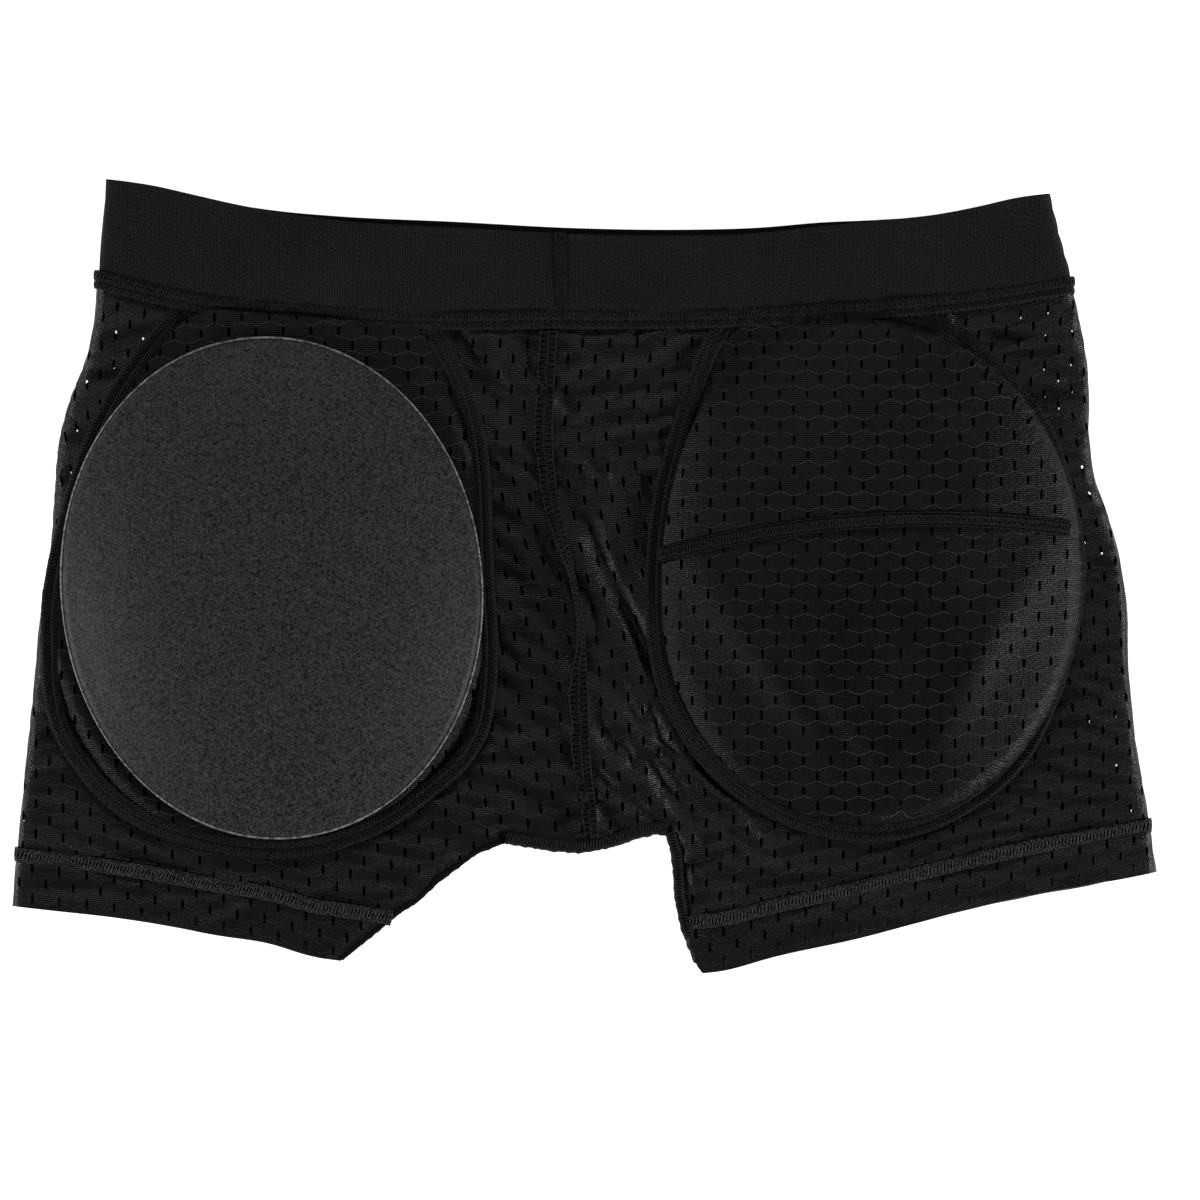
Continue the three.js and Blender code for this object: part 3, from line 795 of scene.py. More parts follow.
line = Seam(*waist_loop())
chunks = [band(line, 7.2, rise=0.9, sink=0.6, rough=0.16)]
for phase in (0.0, 0.5):
    chunks.append(
        zigzag(line, 3.2, WAIST_PITCH, height=1.2, radius=0.34, phase=phase, lean=0.5, middle=1.5)
    )
    chunks.append(
        zigzag(line, 2.2, WAIST_PITCH, height=1.1, radius=0.32, phase=phase + 0.2, lean=-0.5, middle=-2.0)
    )
for across in (-3.3, -0.4, 3.3):
    chunks.append(needle_line(line, across, WAIST_PITCH, height=1.1, radius=0.27))
waist_overlock = joined("waist_seam_overlock", chunks, [seam_cloth, seam_thread])
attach(waist_overlock, "shorts")
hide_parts("waist_seam")


# ---- Waistband ----
# One loop of plain woven elastic, 40 mm wide with its lower edge inside the seam: matt black with
# fine upright ribs. The far side of the loop stands a little higher than the near side.
waist_top = curve(
    [(-190, 152), (-180, 150.6), (-163, 148), (-148, 144.6), (-133, 141.4), (-117, 139), (-95, 137),
     (-49, 134.8), (-3, 132.4), (35, 131.8), (66, 132.6), (90, 134.6), (112, 135.6), (134, 137.4),
     (149, 140.2), (164, 143.6), (176, 145.2), (186, 146)]
)
waist_left = curve([(100, -185.6), (113, -184.6), (130, -183), (151, -181.4)])
waist_right = curve([(100, 186.4), (113, 184.2), (130, 180), (146, 176.4)])
waist_sides = {-1: waist_left, 1: waist_right}
ELASTIC_RISE = 31.0  # how much of its width shows above the seam
ELASTIC_START = 2.6  # above the middle of the waist seam
ELASTIC_END = 183.0  # from the middle to each end, at the seam
ELASTIC_HALF = 378  # more than the way round half of the loop
ELASTIC_FOLD = 2.0
ELASTIC_TURN = 7.0
ELASTIC_THICK = 1.4


def elastic_half(side, u, v):
    """Places of half of the loop, from the centre back to the centre front."""
    share = v / ELASTIC_RISE
    x_side = waist_sides[side](seam_y(side * ELASTIC_END) + ELASTIC_START + v * 1.12)
    reach = np.abs(x_side - MIDDLE) + ELASTIC_FOLD
    t = np.sqrt(reach**2 - ELASTIC_FOLD**2) - u
    root = np.sqrt(t * t + ELASTIC_FOLD**2)
    x = x_side - side * (root - ELASTIC_FOLD)
    beyond = side * (x - MIDDLE) < 0
    x = np.where(beyond, MIDDLE, x)
    top = 0.5 + 0.5 * t / np.sqrt(t * t + ELASTIC_TURN)
    sag = 2.6 * np.exp(-(((x + 4) / 112) ** 6)) * top  # of the near side below the far one
    low = seam_y(x) + ELASTIC_START
    y = low + share * (waist_top(x) - sag - low)
    near = 7.6 + 0.25 * np.sin(x / 23) + 0.2 * np.sin(y / 7 + x / 41)
    far = 0.8 + 0.2 * np.sin(x / 17)
    lean = 0.6 * share * np.exp(-(((x - 20) / 120) ** 4))
    return x, y, far + lean + (near - lean - far) * top, beyond


def elastic_loop(name):
    u = np.arange(0, ELASTIC_HALF, 2.2)
    v = np.linspace(0, ELASTIC_RISE, 15)
    made = []
    for side in (-1, 1):
        u_grid, v_grid = np.meshgrid(u, v)
        x, y, z, beyond = elastic_half(side, u_grid, v_grid)
        pattern = (side * u_grid * MM, v_grid * MM)
        half = grid_mesh(f"{name}_{side}", x, y, z, *pattern, all_corners(beyond), ELASTIC_THICK)
        if side < 0:
            half.data.flip_normals()
        made.append(half)
    bpy.ops.object.select_all(action="DESELECT")
    for half in made:
        half.select_set(True)
    bpy.context.view_layer.objects.active = made[1]
    bpy.ops.object.join()
    loop = bpy.context.object
    loop.name = name
    bpy.ops.object.mode_set(mode="EDIT")
    bpy.ops.mesh.select_all(action="SELECT")
    bpy.ops.mesh.remove_doubles(threshold=0.0002)
    bpy.ops.object.mode_set(mode="OBJECT")
    return loop


def elastic_material():
    """Matt black weave: upright ribs crossed by picks, with specks of lint."""
    mat, nodes, links, shader = principled("woven_elastic", (0.0095, 0.009, 0.0082), 0.8)
    uv = add(nodes, "ShaderNodeUVMap", uv_map="knit")
    ribs = add(nodes, "ShaderNodeTexWave", bands_direction="X", Scale=330.0, Distortion=0.8)
    picks = add(nodes, "ShaderNodeTexWave", bands_direction="Y", Scale=420.0, Distortion=1.2)
    grain = add(nodes, "ShaderNodeTexNoise", Scale=1500.0, Detail=1.0)
    cloud = add(nodes, "ShaderNodeTexNoise", Scale=26.0, Detail=3.0)
    lint = add(nodes, "ShaderNodeTexNoise", Scale=1050.0, Detail=1.0)
    for one in (ribs, picks, grain, cloud, lint):
        links.new(uv.outputs[0], one.inputs["Vector"])
    mixed = maths(nodes, links, "MULTIPLY", ribs.outputs["Fac"], 0.4)
    mixed = maths(nodes, links, "MULTIPLY_ADD", picks.outputs["Fac"], 0.25, mixed)
    mixed = maths(nodes, links, "MULTIPLY_ADD", grain.outputs["Fac"], 1.5, mixed)
    mixed = maths(nodes, links, "SUBTRACT", mixed, 0.5)
    mixed = maths(nodes, links, "MULTIPLY_ADD", cloud.outputs["Fac"], 0.4, mixed)
    ramp = add(nodes, "ShaderNodeValToRGB")
    ramp.color_ramp.elements[0].position = 0.45
    ramp.color_ramp.elements[0].color = (0.002, 0.002, 0.0019, 1)
    ramp.color_ramp.elements[1].position = 0.95
    ramp.color_ramp.elements[1].color = (0.021, 0.0203, 0.0192, 1)
    links.new(mixed, ramp.inputs[0])
    specks = maths(nodes, links, "GREATER_THAN", lint.outputs["Fac"], 0.775)
    final = add(nodes, "ShaderNodeMix", data_type="RGBA")
    links.new(specks, final.inputs[0])
    links.new(ramp.outputs[0], final.inputs[6])
    final.inputs[7].default_value = (0.085, 0.085, 0.08, 1)
    links.new(final.outputs[2], shader.inputs["Base Color"])
    bump = add(nodes, "ShaderNodeBump", Strength=0.45, Distance=0.00015)
    links.new(mixed, bump.inputs["Height"])
    links.new(bump.outputs[0], shader.inputs["Normal"])
    shader.inputs["Specular IOR Level"].default_value = 0.1
    return mat


elastic_weave = elastic_material()
elastic = elastic_loop("waistband_elastic")
elastic.data.materials.append(elastic_weave)
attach(elastic, "shorts")
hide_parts("waistband")


# ---- Waistband join ----
# The elastic's two ends are felled flat over each other at the centre back. A zigzag row and two
# rows of straight stitches hold them.
STRAIGHT_UP = [0.0, 0.0, 1.0]
JOIN_LEVEL = 8.5
join_y = np.linspace(101.5, 130.6, 30)
join_x = -8.8 - 0.02 * (join_y - 100)
join_line = np.stack([join_x, join_y, np.full(len(join_y), JOIN_LEVEL)], -1)
line = Seam(join_line, np.tile(STRAIGHT_UP, (len(join_y), 1)))
chunks = [
    band(line, 3.6, rise=0.22, sink=0.2, rough=0.04),
    zigzag(line, 1.5, 2.2, height=0.34, radius=0.16),
    needle_line(line, -1.5, 2.4, height=0.24, radius=0.14),
    needle_line(line, 1.5, 2.4, height=0.24, radius=0.14),
]
pressed_elastic = pressed_material("pressed_elastic", (0.0088, 0.0085, 0.008))
felling = joined("waistband_join_stitching", chunks, [pressed_elastic, seam_thread])
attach(felling, "shorts")
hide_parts("waistband_join")


# ---- Centre seams ----
# The two halves are overlocked together. At the back the raw allowance faces out, because the shorts
# are inside out: a wavy strip 6 mm wide, tied by ladder-like overlock thread, that leans to the left.
CENTRE_HIGH = 93.0
SERGE_PITCH = 2.1


def centre_line(z_of, up, low):
    y = np.linspace(CENTRE_HIGH, low, 190)
    x = seam_x(y)
    places = np.stack([x, y, z_of(x, y)], -1)
    return Seam(places, np.tile([0.0, 0.0, up], (len(y), 1)))


def ruffle(t):
    """Waves of the strip's free edge."""
    return 0.55 * np.sin(t / 5.2) + 0.35 * np.sin(t / 2.3 + 1.0) + 0.4 * np.sin(t / 11.0)


# How far the strip leans out along its length: where it leans less, it stands up.
spread = curve(
    [(0, 6.4), (30, 7), (60, 6.8), (78, 4.8), (92, 2.9), (118, 2.6), (135, 6.6), (160, 7.2), (195, 6)]
)
STRIP_WIDTH = 7.0


def strip_at(t, share):
    """How far out and up the strip is, from 0, its sewn side, to 1, its free edge."""
    wide = spread(t) * (1 + 0.08 * ruffle(t))
    stand = 0.42 * np.sqrt(np.clip(STRIP_WIDTH**2 - wide**2, 0, None))
    return -wide * share + 0.7, stand * share + 0.5 * share * ruffle(t)


def allowance(seam):
    """The standing strip of a serged seam, as a closed sheet leaning to one side."""
    t = np.arange(0, seam.length, 1.0)
    upper, lower = [], []
    for share in np.linspace(0, 1, 6):
        out, rise = strip_at(t, share)
        height = 0.6 + 1.2 * math.sin(math.pi * min(0.5 + share * 0.5, 0.92)) + rise
        upper.append(seam.at(t, out, height))
        lower.append(seam.at(t, out, height - 0.9 - 0.5 * (1 - share)))
    verts = np.stack(upper + lower[::-1], 1)
    return verts.reshape(-1, 3), strip_faces(*verts.shape[:2]), SEAM_CLOTH


def overlock(seam, pitch, radius):
    """Looper thread that wraps the strip's free edge, in rungs."""
    t = np.arange(0, seam.length, pitch / 8)
    swing = 0.5 - 0.5 * np.cos(2 * math.pi * t / pitch)
    out, rise = strip_at(t, swing * 1.05)
    return tube(seam.at(t, out, 1.95 - 0.75 * swing + rise), radius)


def strip_needle(seam, share, pitch, radius):
    """A needle line along the strip."""
    t = np.arange(0, seam.length, pitch / 4)
    out, rise = strip_at(t, share)
    dip = 0.3 * np.abs(np.sin(math.pi * t / pitch))
    return tube(seam.at(t, out, 1.75 - 0.65 * share + rise + dip), radius)


back_line = centre_line(back_z, up=1.0, low=-99.0)
chunks = [allowance(back_line), overlock(back_line, SERGE_PITCH, radius=0.3)]
for share in (0.06, 0.5, 0.94):
    chunks.append(strip_needle(back_line, share, SERGE_PITCH, radius=0.26))
serged = joined("centre_back_serging", chunks, [seam_cloth, seam_thread])
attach(serged, "shorts")
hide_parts("centre_back_seam")

front_line = centre_line(front_z, up=-1.0, low=-72.0)
chunks = [
    band(front_line, 6.0, rise=0.3, sink=0.4),
    zigzag(front_line, 4.4, 2.6, height=0.45, radius=0.2),
]
front_seam = joined("centre_front_serging", chunks, [seam_cloth, seam_thread])
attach(front_seam, "shorts")
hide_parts("centre_front_seam")


# ---- Gusset ----
# A small three-cornered patch of the same knit at the crotch, underneath. Its point is at the foot
# of the centre front seam, and its long side is in the crotch seam.
GUSSET_LEVEL = 0.32


def gusset_patch():
    u, kind = knit_lines(-24, 28)
    v, index = knit_rows(-110, -66)
    x = shaped_slits(u, kind, index)
    y = np.repeat(v[:, None], len(u), 1)
    high = -69.5 - np.abs(x - 3.5) * 0.95
    low = inner_y(x) + 2.0
    outside = (y > high) | (y < low)
    cut_y = np.clip(y, low, np.maximum(high, low + 0.4))
    drop = all_corners(outside) | slit_faces(kind, index)
    z = np.full(x.shape, GUSSET_LEVEL)
    patch = grid_mesh("gusset_cloth", x, cut_y, z, x / PITCH, y / ROW, drop, CLOTH)
    return patch, cut_area(x, y, drop)


gusset, area = gusset_patch()
gusset.data.materials.append(body_knit)
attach(gusset, "shorts")
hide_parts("gusset")


# ---- Crotch seam and inseams ----
# The same knit's edges, overlocked like the centre seams and closed into rolls along the lower edge
# of the body. The left inseam's roll is too narrow to show its thread.
def edge_seam(first, last, inward):
    """A seam just inside the lower edge, between two of the edge's points."""
    points = np.array(inner_edge[first:last], float)
    along = np.gradient(points, axis=0)
    along /= np.linalg.norm(along, axis=1)[:, None]
    inner = np.stack([-along[:, 1], along[:, 0]], -1)
    middle = points + inner * inward
    places = np.column_stack([middle, np.full(len(points), MIDDLE_Z + 0.9)])
    places, _ = spaced(places, 1.0)
    return Seam(places, np.tile(STRAIGHT_UP, (len(places), 1)))


ROLL_PITCH = 2.3
for name, first, last, inward, width, rise in (
    ("crotch_seam", 7, 14, 2.2, 5.6, 1.9),
    ("left_inseam", 1, 8, 1.2, 2.6, 1.0),
    ("right_inseam", 13, 18, 1.6, 4.4, 1.9),
):
    line = edge_seam(first, last, inward)
    chunks = [band(line, width, rise, sink=2.4, rough=0.2)]
    if name != "left_inseam":
        for phase in (0.0, 0.5):
            chunks.append(
                zigzag(line, width - 1.0, ROLL_PITCH, rise + 0.35, radius=0.32, phase=phase, lean=0.3)
            )
        chunks.append(needle_line(line, width / 2 - 0.6, ROLL_PITCH, rise + 0.2, radius=0.26))
    roll = joined(f"{name}_overlock", chunks, [seam_cloth, seam_thread])
    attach(roll, "shorts")
    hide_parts(name)


# ---- Pads ----
# Each pad is an oval of foam about 18 mm thick at its crown, with smooth charcoal knit laminated on
# its face and back, pressed thin and cut at the edge. A fine pale line runs round that edge: the pressed
# edge, coloured far paler than the grey foam to paint the highlight along the rim.
PAD_POWER = 2.04  # the oval's squareness, where 2 is an ellipse
PAD_EDGE = 2.2
PAD_CROWN = 17.4
PAD_FALL = 2.5  # how late the face falls away from its crown
PAD_BELLY = 0.4
PAD_SEGMENTS = 96


def centre_of(node):
    low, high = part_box(node)
    return (low.x + high.x) / 2 / MM, (low.y + high.y) / 2 / MM


def pad_oval(pad, angle, grown, share=1.0):
    """Places on the pad's outline, made larger by grown or drawn in to a share of it."""
    c, s = np.abs(np.cos(angle)), np.abs(np.sin(angle))
    far = (c**PAD_POWER + s**PAD_POWER) ** (-1 / PAD_POWER)
    x = (pad["half"][0] + grown) * far * np.cos(angle) * share
    y = (pad["half"][1] + grown) * far * np.sin(angle) * share
    c, s = math.cos(math.radians(pad["turn"])), math.sin(math.radians(pad["turn"]))
    return pad["centre"][0] + x * c - y * s, pad["centre"][1] + x * s + y * c


def pad_solid(pad, inset=0.0, raised=0.0, edge=PAD_EDGE, crown=PAD_CROWN):
    """The pad as one closed form: domed face, short upright edge and slightly bellied back."""
    base = pad["base"] + raised
    angle = np.linspace(0, 2 * math.pi, PAD_SEGMENTS, endpoint=False)
    profile = [(r, edge + (crown - edge) * (1 - r**PAD_FALL)) for r in np.linspace(0.06, 0.97, 15)]
    profile += [(0.99, edge + 0.6), (1.0, edge * 0.7), (0.994, edge * 0.2), (0.97, -0.25)]
    profile += [(r, -PAD_BELLY * (1 - r**2)) for r in np.linspace(0.9, 0.06, 9)]
    verts = [(*pad["centre"], base + crown)]
    for share, height in profile:
        x, y = pad_oval(pad, angle, -inset, share)
        verts += list(zip(x, y, np.full(PAD_SEGMENTS, base + height)))
    verts.append((*pad["centre"], base - PAD_BELLY))
    around = [(i, (i + 1) % PAD_SEGMENTS) for i in range(PAD_SEGMENTS)]
    faces = [[0, 1 + i, 1 + j] for i, j in around]
    for ring in range(len(profile) - 1):
        a, b = 1 + ring * PAD_SEGMENTS, 1 + (ring + 1) * PAD_SEGMENTS
        faces += [[a + i, b + i, b + j, a + j] for i, j in around]
    last, tip = 1 + (len(profile) - 1) * PAD_SEGMENTS, len(verts) - 1
    faces += [[tip, last + j, last + i] for i, j in around]
    return np.array(verts, float), faces, 0


def laminate_material():
    """Brushed charcoal knit: pale and dark fibre ends over a fine slanting twill."""
    mat, nodes, links, shader = principled("charcoal_laminate", (0.03, 0.031, 0.034), 0.52)
    place = add(nodes, "ShaderNodeTexCoord")
    turned = add(nodes, "ShaderNodeMapping")
    turned.inputs["Rotation"].default_value = (0, 0, math.radians(38))
    links.new(place.outputs["Object"], turned.inputs["Vector"])
    twill = add(nodes, "ShaderNodeTexWave", bands_direction="X", Scale=360.0, Distortion=2.5)
    links.new(turned.outputs[0], twill.inputs["Vector"])
    fibres = add(nodes, "ShaderNodeTexVoronoi", Scale=2100.0)
    slubs = add(nodes, "ShaderNodeTexVoronoi", Scale=1250.0)
    for one in (fibres, slubs):
        links.new(place.outputs["Object"], one.inputs["Vector"])
    fine = add(nodes, "ShaderNodeSeparateColor")
    links.new(fibres.outputs["Color"], fine.inputs[0])
    coarse = add(nodes, "ShaderNodeSeparateColor")
    links.new(slubs.outputs["Color"], coarse.inputs[0])
    mixed = maths(nodes, links, "MULTIPLY", fine.outputs[0], 0.6)
    mixed = maths(nodes, links, "MULTIPLY_ADD", coarse.outputs[0], 0.32, mixed)
    mixed = maths(nodes, links, "MULTIPLY_ADD", twill.outputs["Fac"], 0.12, mixed)
    ramp = add(nodes, "ShaderNodeValToRGB")
    ramp.color_ramp.elements[0].position = 0.2
    ramp.color_ramp.elements[0].color = (0.001, 0.0011, 0.0012, 1)
    ramp.color_ramp.elements[1].position = 0.9
    ramp.color_ramp.elements[1].color = (0.066, 0.067, 0.069, 1)
    links.new(mixed, ramp.inputs[0])
    links.new(ramp.outputs[0], shader.inputs["Base Color"])
    bump = add(nodes, "ShaderNodeBump", Strength=0.4, Distance=0.00012)
    links.new(mixed, bump.inputs["Height"])
    links.new(bump.outputs[0], shader.inputs["Normal"])
    shader.inputs["Specular IOR Level"].default_value = 0.22
    return mat


def pale_highlight_edge_material():
    """The pad's pressed edge, in a pale colour that paints the highlight along its rim, with darker
    specks of the laminate.
    """
    mat, nodes, links, shader = principled("pale_highlight_edge", (0.16, 0.155, 0.145), 0.6)
    place = add(nodes, "ShaderNodeTexCoord")
    grain = add(nodes, "ShaderNodeTexNoise", Scale=700.0, Detail=3.0)
    links.new(place.outputs["Object"], grain.inputs["Vector"])
    ramp = add(nodes, "ShaderNodeValToRGB")
    ramp.color_ramp.elements[0].position = 0.35
    ramp.color_ramp.elements[0].color = (0.07, 0.07, 0.067, 1)
    ramp.color_ramp.elements[1].position = 0.65
    ramp.color_ramp.elements[1].color = (0.34, 0.33, 0.31, 1)
    links.new(grain.outputs["Fac"], ramp.inputs[0])
    links.new(ramp.outputs[0], shader.inputs["Base Color"])
    return mat


def foam_material():
    """Dull grey foam with open cells."""
    mat, nodes, links, shader = principled("grey_foam", (0.09, 0.1, 0.11), 0.9)
    place = add(nodes, "ShaderNodeTexCoord")
    cells = add(nodes, "ShaderNodeTexVoronoi", Scale=900.0)
    links.new(place.outputs["Object"], cells.inputs["Vector"])
    bump = add(nodes, "ShaderNodeBump", Strength=0.5, Distance=0.0002)
    links.new(cells.outputs["Distance"], bump.inputs["Height"])
    links.new(bump.outputs[0], shader.inputs["Normal"])
    return mat


laminate = laminate_material()
pale_highlight_edge = pale_highlight_edge_material()
grey_foam = foam_material()
# The loose pad settles on the cloth below it, and the other one is held up inside its pocket.
pads = {
    "left": {"turn": 5.4, "half": (79.1, 94.5), "settled": -1.4},
    "right": {"turn": 0.0, "half": (77.0, 92.8), "settled": 1.4},
}
RIM_POINTS = 241
for name, pad in pads.items():
    pad["centre"] = centre_of(f"{name}_pad_rim")
    pad["base"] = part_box(f"{name}_pad_back_cover")[0].z / MM + pad["settled"]
    body = f"{name}_pad"
    face_side = joined(f"{name}_pad_face", [pad_solid(pad)], [laminate])
    inner = pad_solid(pad, inset=1.4, raised=0.4, edge=PAD_EDGE - 0.7, crown=PAD_CROWN - 1.0)
    core = joined(f"{name}_pad_core", [inner], [grey_foam])
    x, y = pad_oval(pad, np.linspace(0, 2 * math.pi, RIM_POINTS), 0.25)
    rim = np.stack([x, y, np.full(RIM_POINTS, pad["base"] + 1.4)], -1)
    # The pale tube round the rim is the pressed edge, with the highlight along it painted into its
    # colour.
    edge = joined(f"{name}_pad_cut_edge", [tube(rim, 0.5, sides=6, material=0)], [pale_highlight_edge])
    for piece, slot_name, nodes_for in (
        (face_side, "laminate", [f"{name}_pad_face_cover", f"{name}_pad_back_cover"]),
        (core, "foam", [f"{name}_pad_foam"]),
        (edge, "fused_edge", [f"{name}_pad_rim"]),
    ):
        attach(piece, body)
        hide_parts(*nodes_for)


# ---- Pockets ----
# An oval pocket of lighter mesh knit on each side of the seat, in two flaps that overlap as a slit
# mouth. The right one is stretched over its pad, and the left one lies nearly flat and empty.
POCKET_CLOTH = 0.4
SEAT_LEVEL = 7.95  # where a pocket's cloth would lie with nothing in it
pockets = {
    "left": {
        "centre": (-120.0, 0.0), "half": (82.0, 101.0), "sign": -1,
        "crown": 3.7, "edge": 2.9, "full": False,
    },
    "right": {
        "centre": (109.0, 1.0), "half": (78.2, 94.0), "sign": 1,
        "crown": 19.9, "edge": 6.0, "full": True,
    },
}
# Distance from the pocket's centre to the middle of its seam, at each angle in degrees.
rings = {
    "left": [(10, 82.6), (26, 89.4), (40, 99.3), (49, 106.1), (59.6, 113), (75, 106), (90, 103),
             (106, 106.5), (117, 98), (125, 92.6), (142, 84), (165, 79), (188, 83.4), (198, 86.9),
             (209, 93.4), (217, 97.8), (226, 100.7), (234, 103), (243, 104), (253, 103.2),
             (264, 103.2), (275, 103.8), (286, 103.4), (297, 102.4), (307, 101), (316, 101),
             (324, 98.8), (333, 92.8), (343, 87.2), (354, 82.9)],
    "right": [(5, 77.4), (17, 78.2), (31, 81.5), (44, 86), (56, 88.5), (66, 92.8), (79, 98.4),
              (90, 101), (106, 105.4), (117, 109.2), (124, 107), (130, 101), (139, 93.6),
              (148, 88.4), (159, 84.8), (169, 82.8), (180, 82.4), (190, 83.7), (200, 86.4),
              (210, 89.5), (221, 92.3), (230, 94.4), (239, 96), (249, 97.3), (259, 98.2),
              (272, 98.4), (283, 96.6), (296, 93.1), (310, 88.6), (321, 83.6), (339, 78.6),
              (352, 77.4)],
}
for name, points in rings.items():
    before = [(a - 360, r) for a, r in points[-3:]]
    after = [(a + 360, r) for a, r in points[:3]]
    pockets[name]["ring"] = curve(before + points + after)
# Folds of the cloth over the pad, as in creases.
pocket_creases = [
    ((72, -34), -54, 56, 10.5, 4.0),
    ((94, -2), -52, 38, 10.0, -2.4),
    ((98, -64), -48, 34, 7.0, 1.4),
    ((150, -28), 59, 48, 10.5, 3.0),
    ((120, -30), -84, 40, 14.0, -1.2),
    ((58, 6), -50, 24, 5.0, 0.5),
    ((140, -30), 62, 40, 9.0, 0.4),
    ((52, -64), -48, 20, 3.4, 0.7),
    ((44, -44), -60, 18, 3.2, 0.6),
    ((66, -82), -30, 18, 3.0, 0.7),
    ((62, 84), -20, 16, 2.6, 0.6),
    ((84, 92), 4, 16, 2.2, 0.7),
    ((52, 68), 50, 16, 3.0, 0.5),
    ((44, 34), 76, 20, 3.2, 0.45),
]


def reach(x, y, piece):
    """How far out a place is on a pocket or pad, where 1 is the edge of its oval."""
    dx = np.abs(x - piece["centre"][0]) / piece["half"][0]
    dy = np.abs(y - piece["centre"][1]) / piece["half"][1]
    return (dx**PAD_POWER + dy**PAD_POWER) ** (1 / PAD_POWER)


def seam_reach(x, y, pocket):
    """Like reach, but 1 at the pocket's own seam."""
    dx, dy = x - pocket["centre"][0], y - pocket["centre"][1]
    return np.hypot(dx, dy) / pocket["ring"](np.degrees(np.arctan2(dy, dx)) % 360)


def mouth(x, pocket):
    """The shallow arch of a pocket's mouth."""
    t = x - pocket["centre"][0] - 21 * pocket["sign"]
    return pocket["centre"][1] + 20.4 - 0.00131 * t * t


def pad_top(x, y, pad):
    """Height of a pad's face, or 0 beside it."""
    r = np.clip(reach(x, y, pad), 0, 1)
    face = pad["base"] + PAD_EDGE + (PAD_CROWN - PAD_EDGE) * (1 - r**PAD_FALL)
    return np.where(r < 1, face, 0.0)


STEEP, EASY = 0.9, 2.2  # width of the slope round a pad, and how much wider it gets where soft
CLEAR_OF_PAD = 0.6
KEEN = 1.6  # how sharply the folds stand off the pad


def pocket_z(x, y, pocket):
    """Height of the pocket's cloth over what it holds."""
    r = reach(x, y, pocket)
    crown, edge, soft = pocket["crown"], pocket["edge"], 1.0
    if pocket["full"]:  # towards the middle the cloth runs smoothly down from the pad to the seam
        soft = smoothstep((pocket["centre"][0] + 15 - x) / 50)
        edge = edge - EASY * soft
    over = edge + (crown - edge) * (1 - np.clip(r, 0, 1) ** PAD_FALL)
    beside = np.clip((r - 1) * pocket["half"][0], 0, 20)
    slope = edge * np.exp(-((beside / (STEEP + EASY * soft)) ** 2))
    dome = SEAT_LEVEL + np.where(r < 1, over, slope)
    fade = np.clip(1.12 - r, 0, 1) ** 0.3
    if not pocket["full"]:
        return dome + 0.35 * wrinkles(x, y) * fade
    folds = sum(crease(x, y, *one) for one in pocket_creases) * fade
    # The folds can only stand off the pad, and not sink into it.
    proud = np.log1p(np.exp(KEEN * folds)) / KEEN * smoothstep((1.04 - r) / 0.08)
    return np.maximum(dome, pad_top(x, y, pads["right"]) + CLEAR_OF_PAD) + proud


FLAP_EDGE = 0.967  # the flaps end under the inner edge of the pocket's seam
FLAP_MARGIN = 12
BRIM, FOOT = 0.995, 1.02  # reach of the pad's outer brim, and of the foot of the cloth beside it
UPPER_OVERLAP, LOWER_OVERLAP = 3.4, 9.0  # how far each flap runs on past the mouth


def flap(name, pocket, upper):
    """One of a pocket's two flaps, cut a little off the grain, and its cut area."""
    (cx, cy), half, full = pocket["centre"], pocket["half"], pocket["full"]
    u, kind = knit_lines(cx - half[0] - FLAP_MARGIN, cx + half[0] + FLAP_MARGIN)
    v, index = knit_rows(cy - half[1] - FLAP_MARGIN, cy + half[1] + FLAP_MARGIN)
    u_grid = shaped_slits(u, kind, index)
    v_grid = np.repeat(v[:, None], len(u), 1)
    x = u_grid + 0.9 * np.sin(v_grid / 31.0)
    y = v_grid + 0.03 * (u_grid - cx) + 0.8 * np.sin(u_grid / 27.0)

    def outline(x, y):
        """How far to draw a place in to the flap's edge, at the seam or round the pad."""
        at_seam = FLAP_EDGE / seam_reach(x, y, pocket)
        return np.maximum(at_seam, FOOT / reach(x, y, pocket)) if full else at_seam

    shrink = outline(x, y)
    off = shrink < 1
    shrink = np.where(off, shrink, 1.0)
    if full:  # a row of places lies on the pad's outer brim, and the next one at its foot
        at_pad = np.where(x > cx, reach(x, y, pocket), 0.0)
        near = np.maximum(at_pad, 0.5)
        shrink = np.where((at_pad > 0.965) & (at_pad <= 1.0), BRIM / near, shrink)
        shrink = np.where((at_pad > 1.0) & (at_pad < 1.05), FOOT / near, shrink)
    x = cx + (x - cx) * shrink
    y = cy + (y - cy) * shrink
    line = mouth(x, pocket) - UPPER_OVERLAP if upper else mouth(x, pocket) + LOWER_OVERLAP
    wrong = (y < line) if upper else (y > line)
    y = np.where(wrong, line, y)
    y = np.minimum(y, seam_y(x) - 1.5)  # along the waist it ends under the waist seam
    pull = outline(x, y)
    x = cx + (x - cx) * np.where(off & (pull < 1), pull, 1.0)
    side = sides[pocket["sign"]](y) - pocket["sign"] * 2.2
    past = pocket["sign"] * (x - side) > 0
    x = np.where(past, side, x)
    slits = slit_faces(kind, index)
    if full:  # no slit opens where the cloth bends sharply over the brim
        slits &= ((x < cx) | (reach(x, y, pocket) < 0.95))[:-1, :-1]
    drop = all_corners(off | wrong | past) | slits
    near_mouth = np.exp(-(((y - mouth(x, pocket)) / 13.0) ** 2))
    z = pocket_z(x, y, pocket) + (0.25 + 0.85 * near_mouth if upper else 0.0)
    obj = grid_mesh(name, x, y, z, u_grid / PITCH, v_grid / ROW, drop, POCKET_CLOTH)
    return obj, cut_area(u_grid, v_grid, drop)


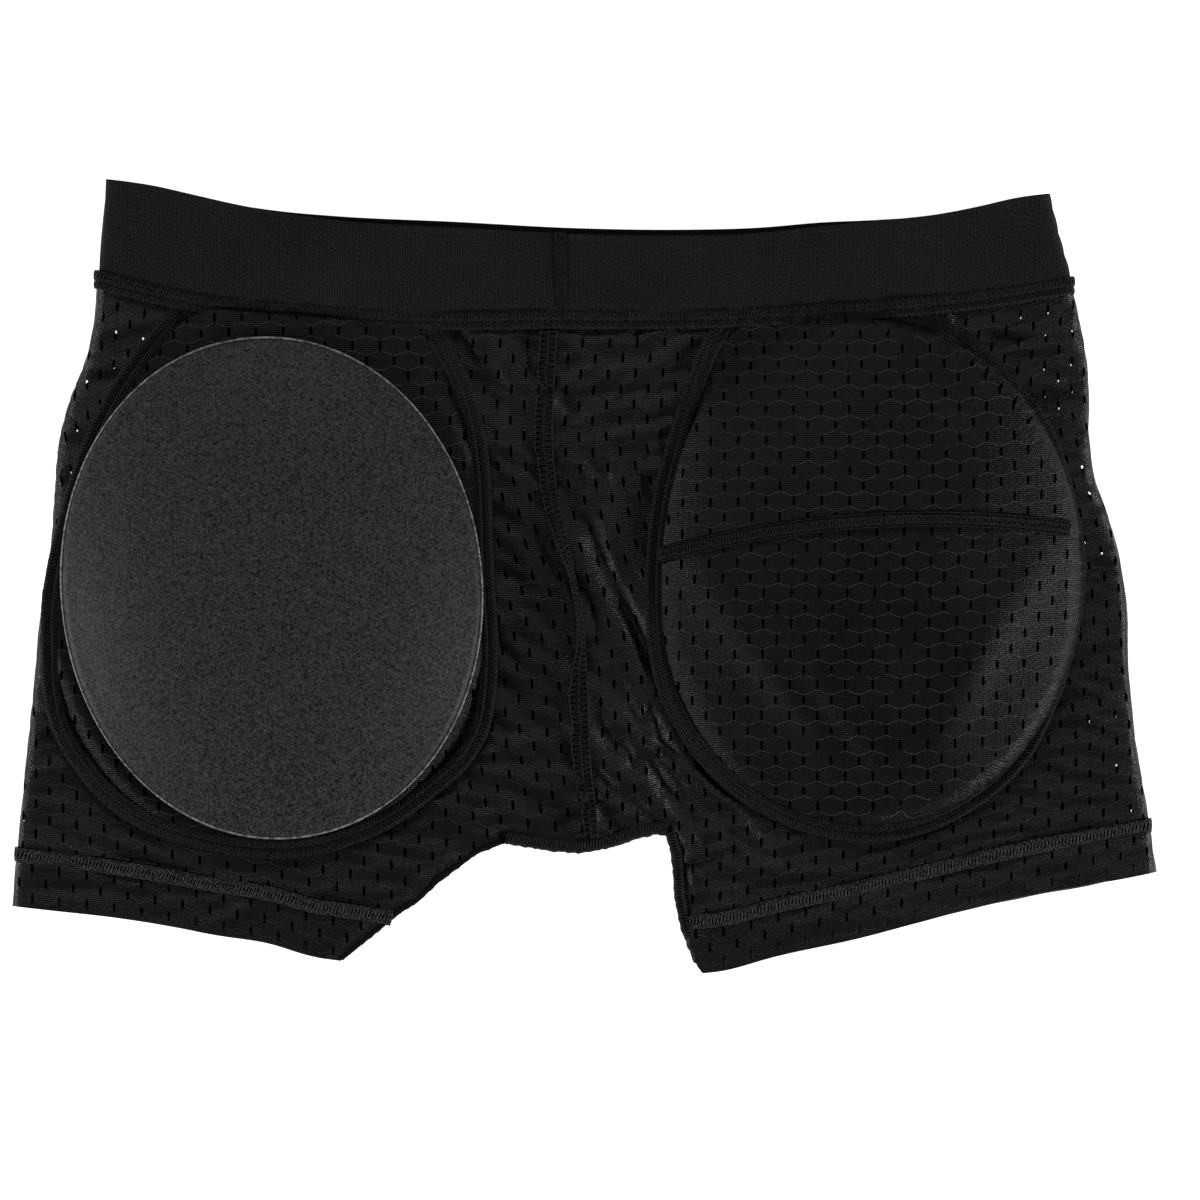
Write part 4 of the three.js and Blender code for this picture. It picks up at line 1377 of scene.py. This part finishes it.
pocket_knit = knit_material(
    "pocket_knit",
    dark=(0.0042, 0.0045, 0.0044),
    pale=(0.1, 0.1, 0.095),
    float_strength=0.62,
    shine=0.18,
    matt=0.37,
)
for name, pocket in pockets.items():
    for which, length in (("lower", 0.126), ("upper", 0.09)):
        piece, area = flap(f"{name}_pocket_{which}_flap", pocket, which == "upper")
        piece.data.materials.append(pocket_knit)
        pocket[which] = piece
        width = 2 * pocket["half"][0] * MM
        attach(piece, "shorts")
        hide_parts(f"{name}_pocket_{which}")


# ---- Pocket seams and mouth stitching ----
# Each pocket is cover-stitched to the seat all round with two rows of looper thread, and its mouth's
# upper edge has a row of its own. Along the waist the ring is caught under the waist seam.
def ring_seam(pocket):
    """The line of the seam round a pocket."""
    angle = np.linspace(math.radians(90), math.radians(450), 500)
    far = pocket["ring"](np.degrees(angle) % 360)
    x, y = pocket["centre"][0] + far * np.cos(angle), pocket["centre"][1] + far * np.sin(angle)
    sign = pocket["sign"]
    side = sides[sign](y) - sign * 3.4
    x = np.where(sign * (x - side) > 0, side, x)
    under = seam_y(x) - 3.4
    caught = np.exp(-(np.clip(under - y, 0, None) / 4.0) ** 2)
    y = np.minimum(y, under)
    z = 7.2 + 0.15 * back_z(x, y) - 1.7 * caught
    if pocket["full"]:  # it lies lower beside the pad's outer brim
        bearing = np.degrees(np.angle(np.exp(1j * angle)))
        z = z - 1.2 * np.exp(-((bearing / 34) ** 4))
    places = np.stack([x, y, z], -1)
    return Seam(places, np.tile(STRAIGHT_UP, (len(x), 1)))


def mouth_seam(pocket):
    """The line of the row along a pocket's mouth."""
    cx = pocket["centre"][0]
    x = np.linspace(cx - pocket["half"][0] - 9, cx + pocket["half"][0] + 9, 300)
    y = mouth(x, pocket)
    inside = seam_reach(x, y, pocket) < 0.985
    sign = pocket["sign"]
    inside &= sign * (x - (sides[sign](y) - sign * 2.5)) < 0
    x, y = x[inside], y[inside]
    z = pocket_z(x, y, pocket) + 1.35
    dz = np.gradient(z, x)
    return Seam(np.stack([x, y, z], -1), np.stack([-dz, 0 * dz, 1 + 0 * dz], -1))


RING_PITCH = 2.3
RING_ROW = 1.65  # from the middle of the ring to the middle of each of its rows
MOUTH_PITCH = 2.4
for name, pocket in pockets.items():
    line = ring_seam(pocket)
    chunks = [band(line, 7.4, rise=0.8, sink=0.5, rough=0.2)]
    for across, lean in ((-RING_ROW, -0.7), (RING_ROW, 0.7)):
        for phase in (0.0, 0.5):
            chunks.append(
                zigzag(line, 2 * RING_ROW, RING_PITCH, 1.2, 0.36, phase=phase, lean=lean, middle=across)
            )
    for across in (-3.4, 3.4):
        chunks.append(needle_line(line, across, RING_PITCH, height=1.0, radius=0.28))
    ring = joined(f"{name}_pocket_cover_stitch", chunks, [seam_cloth, seam_thread])
    line = mouth_seam(pocket)
    chunks = [band(line, 6.6, rise=0.55, sink=0.25, rough=0.1)]
    for phase in (0.0, 0.5):
        chunks.append(zigzag(line, 3.9, MOUTH_PITCH, height=0.85, radius=0.32, phase=phase, lean=0.7))
    for across in (-2.5, 2.5):
        chunks.append(needle_line(line, across, MOUTH_PITCH, height=0.8, radius=0.26))
    row = joined(f"{name}_pocket_mouth_row", chunks, [seam_cloth, seam_thread])
    for piece, node in ((ring, "pocket_seam"), (row, "pocket_mouth_stitching")):
        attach(piece, "shorts")
        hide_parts(f"{name}_{node}")
    pocket["row"] = row

# The right pocket's flaps and mouth row each get a mesh of their own.
right = pockets["right"]
for piece in (right["lower"], right["upper"], right["row"]):
    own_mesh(piece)
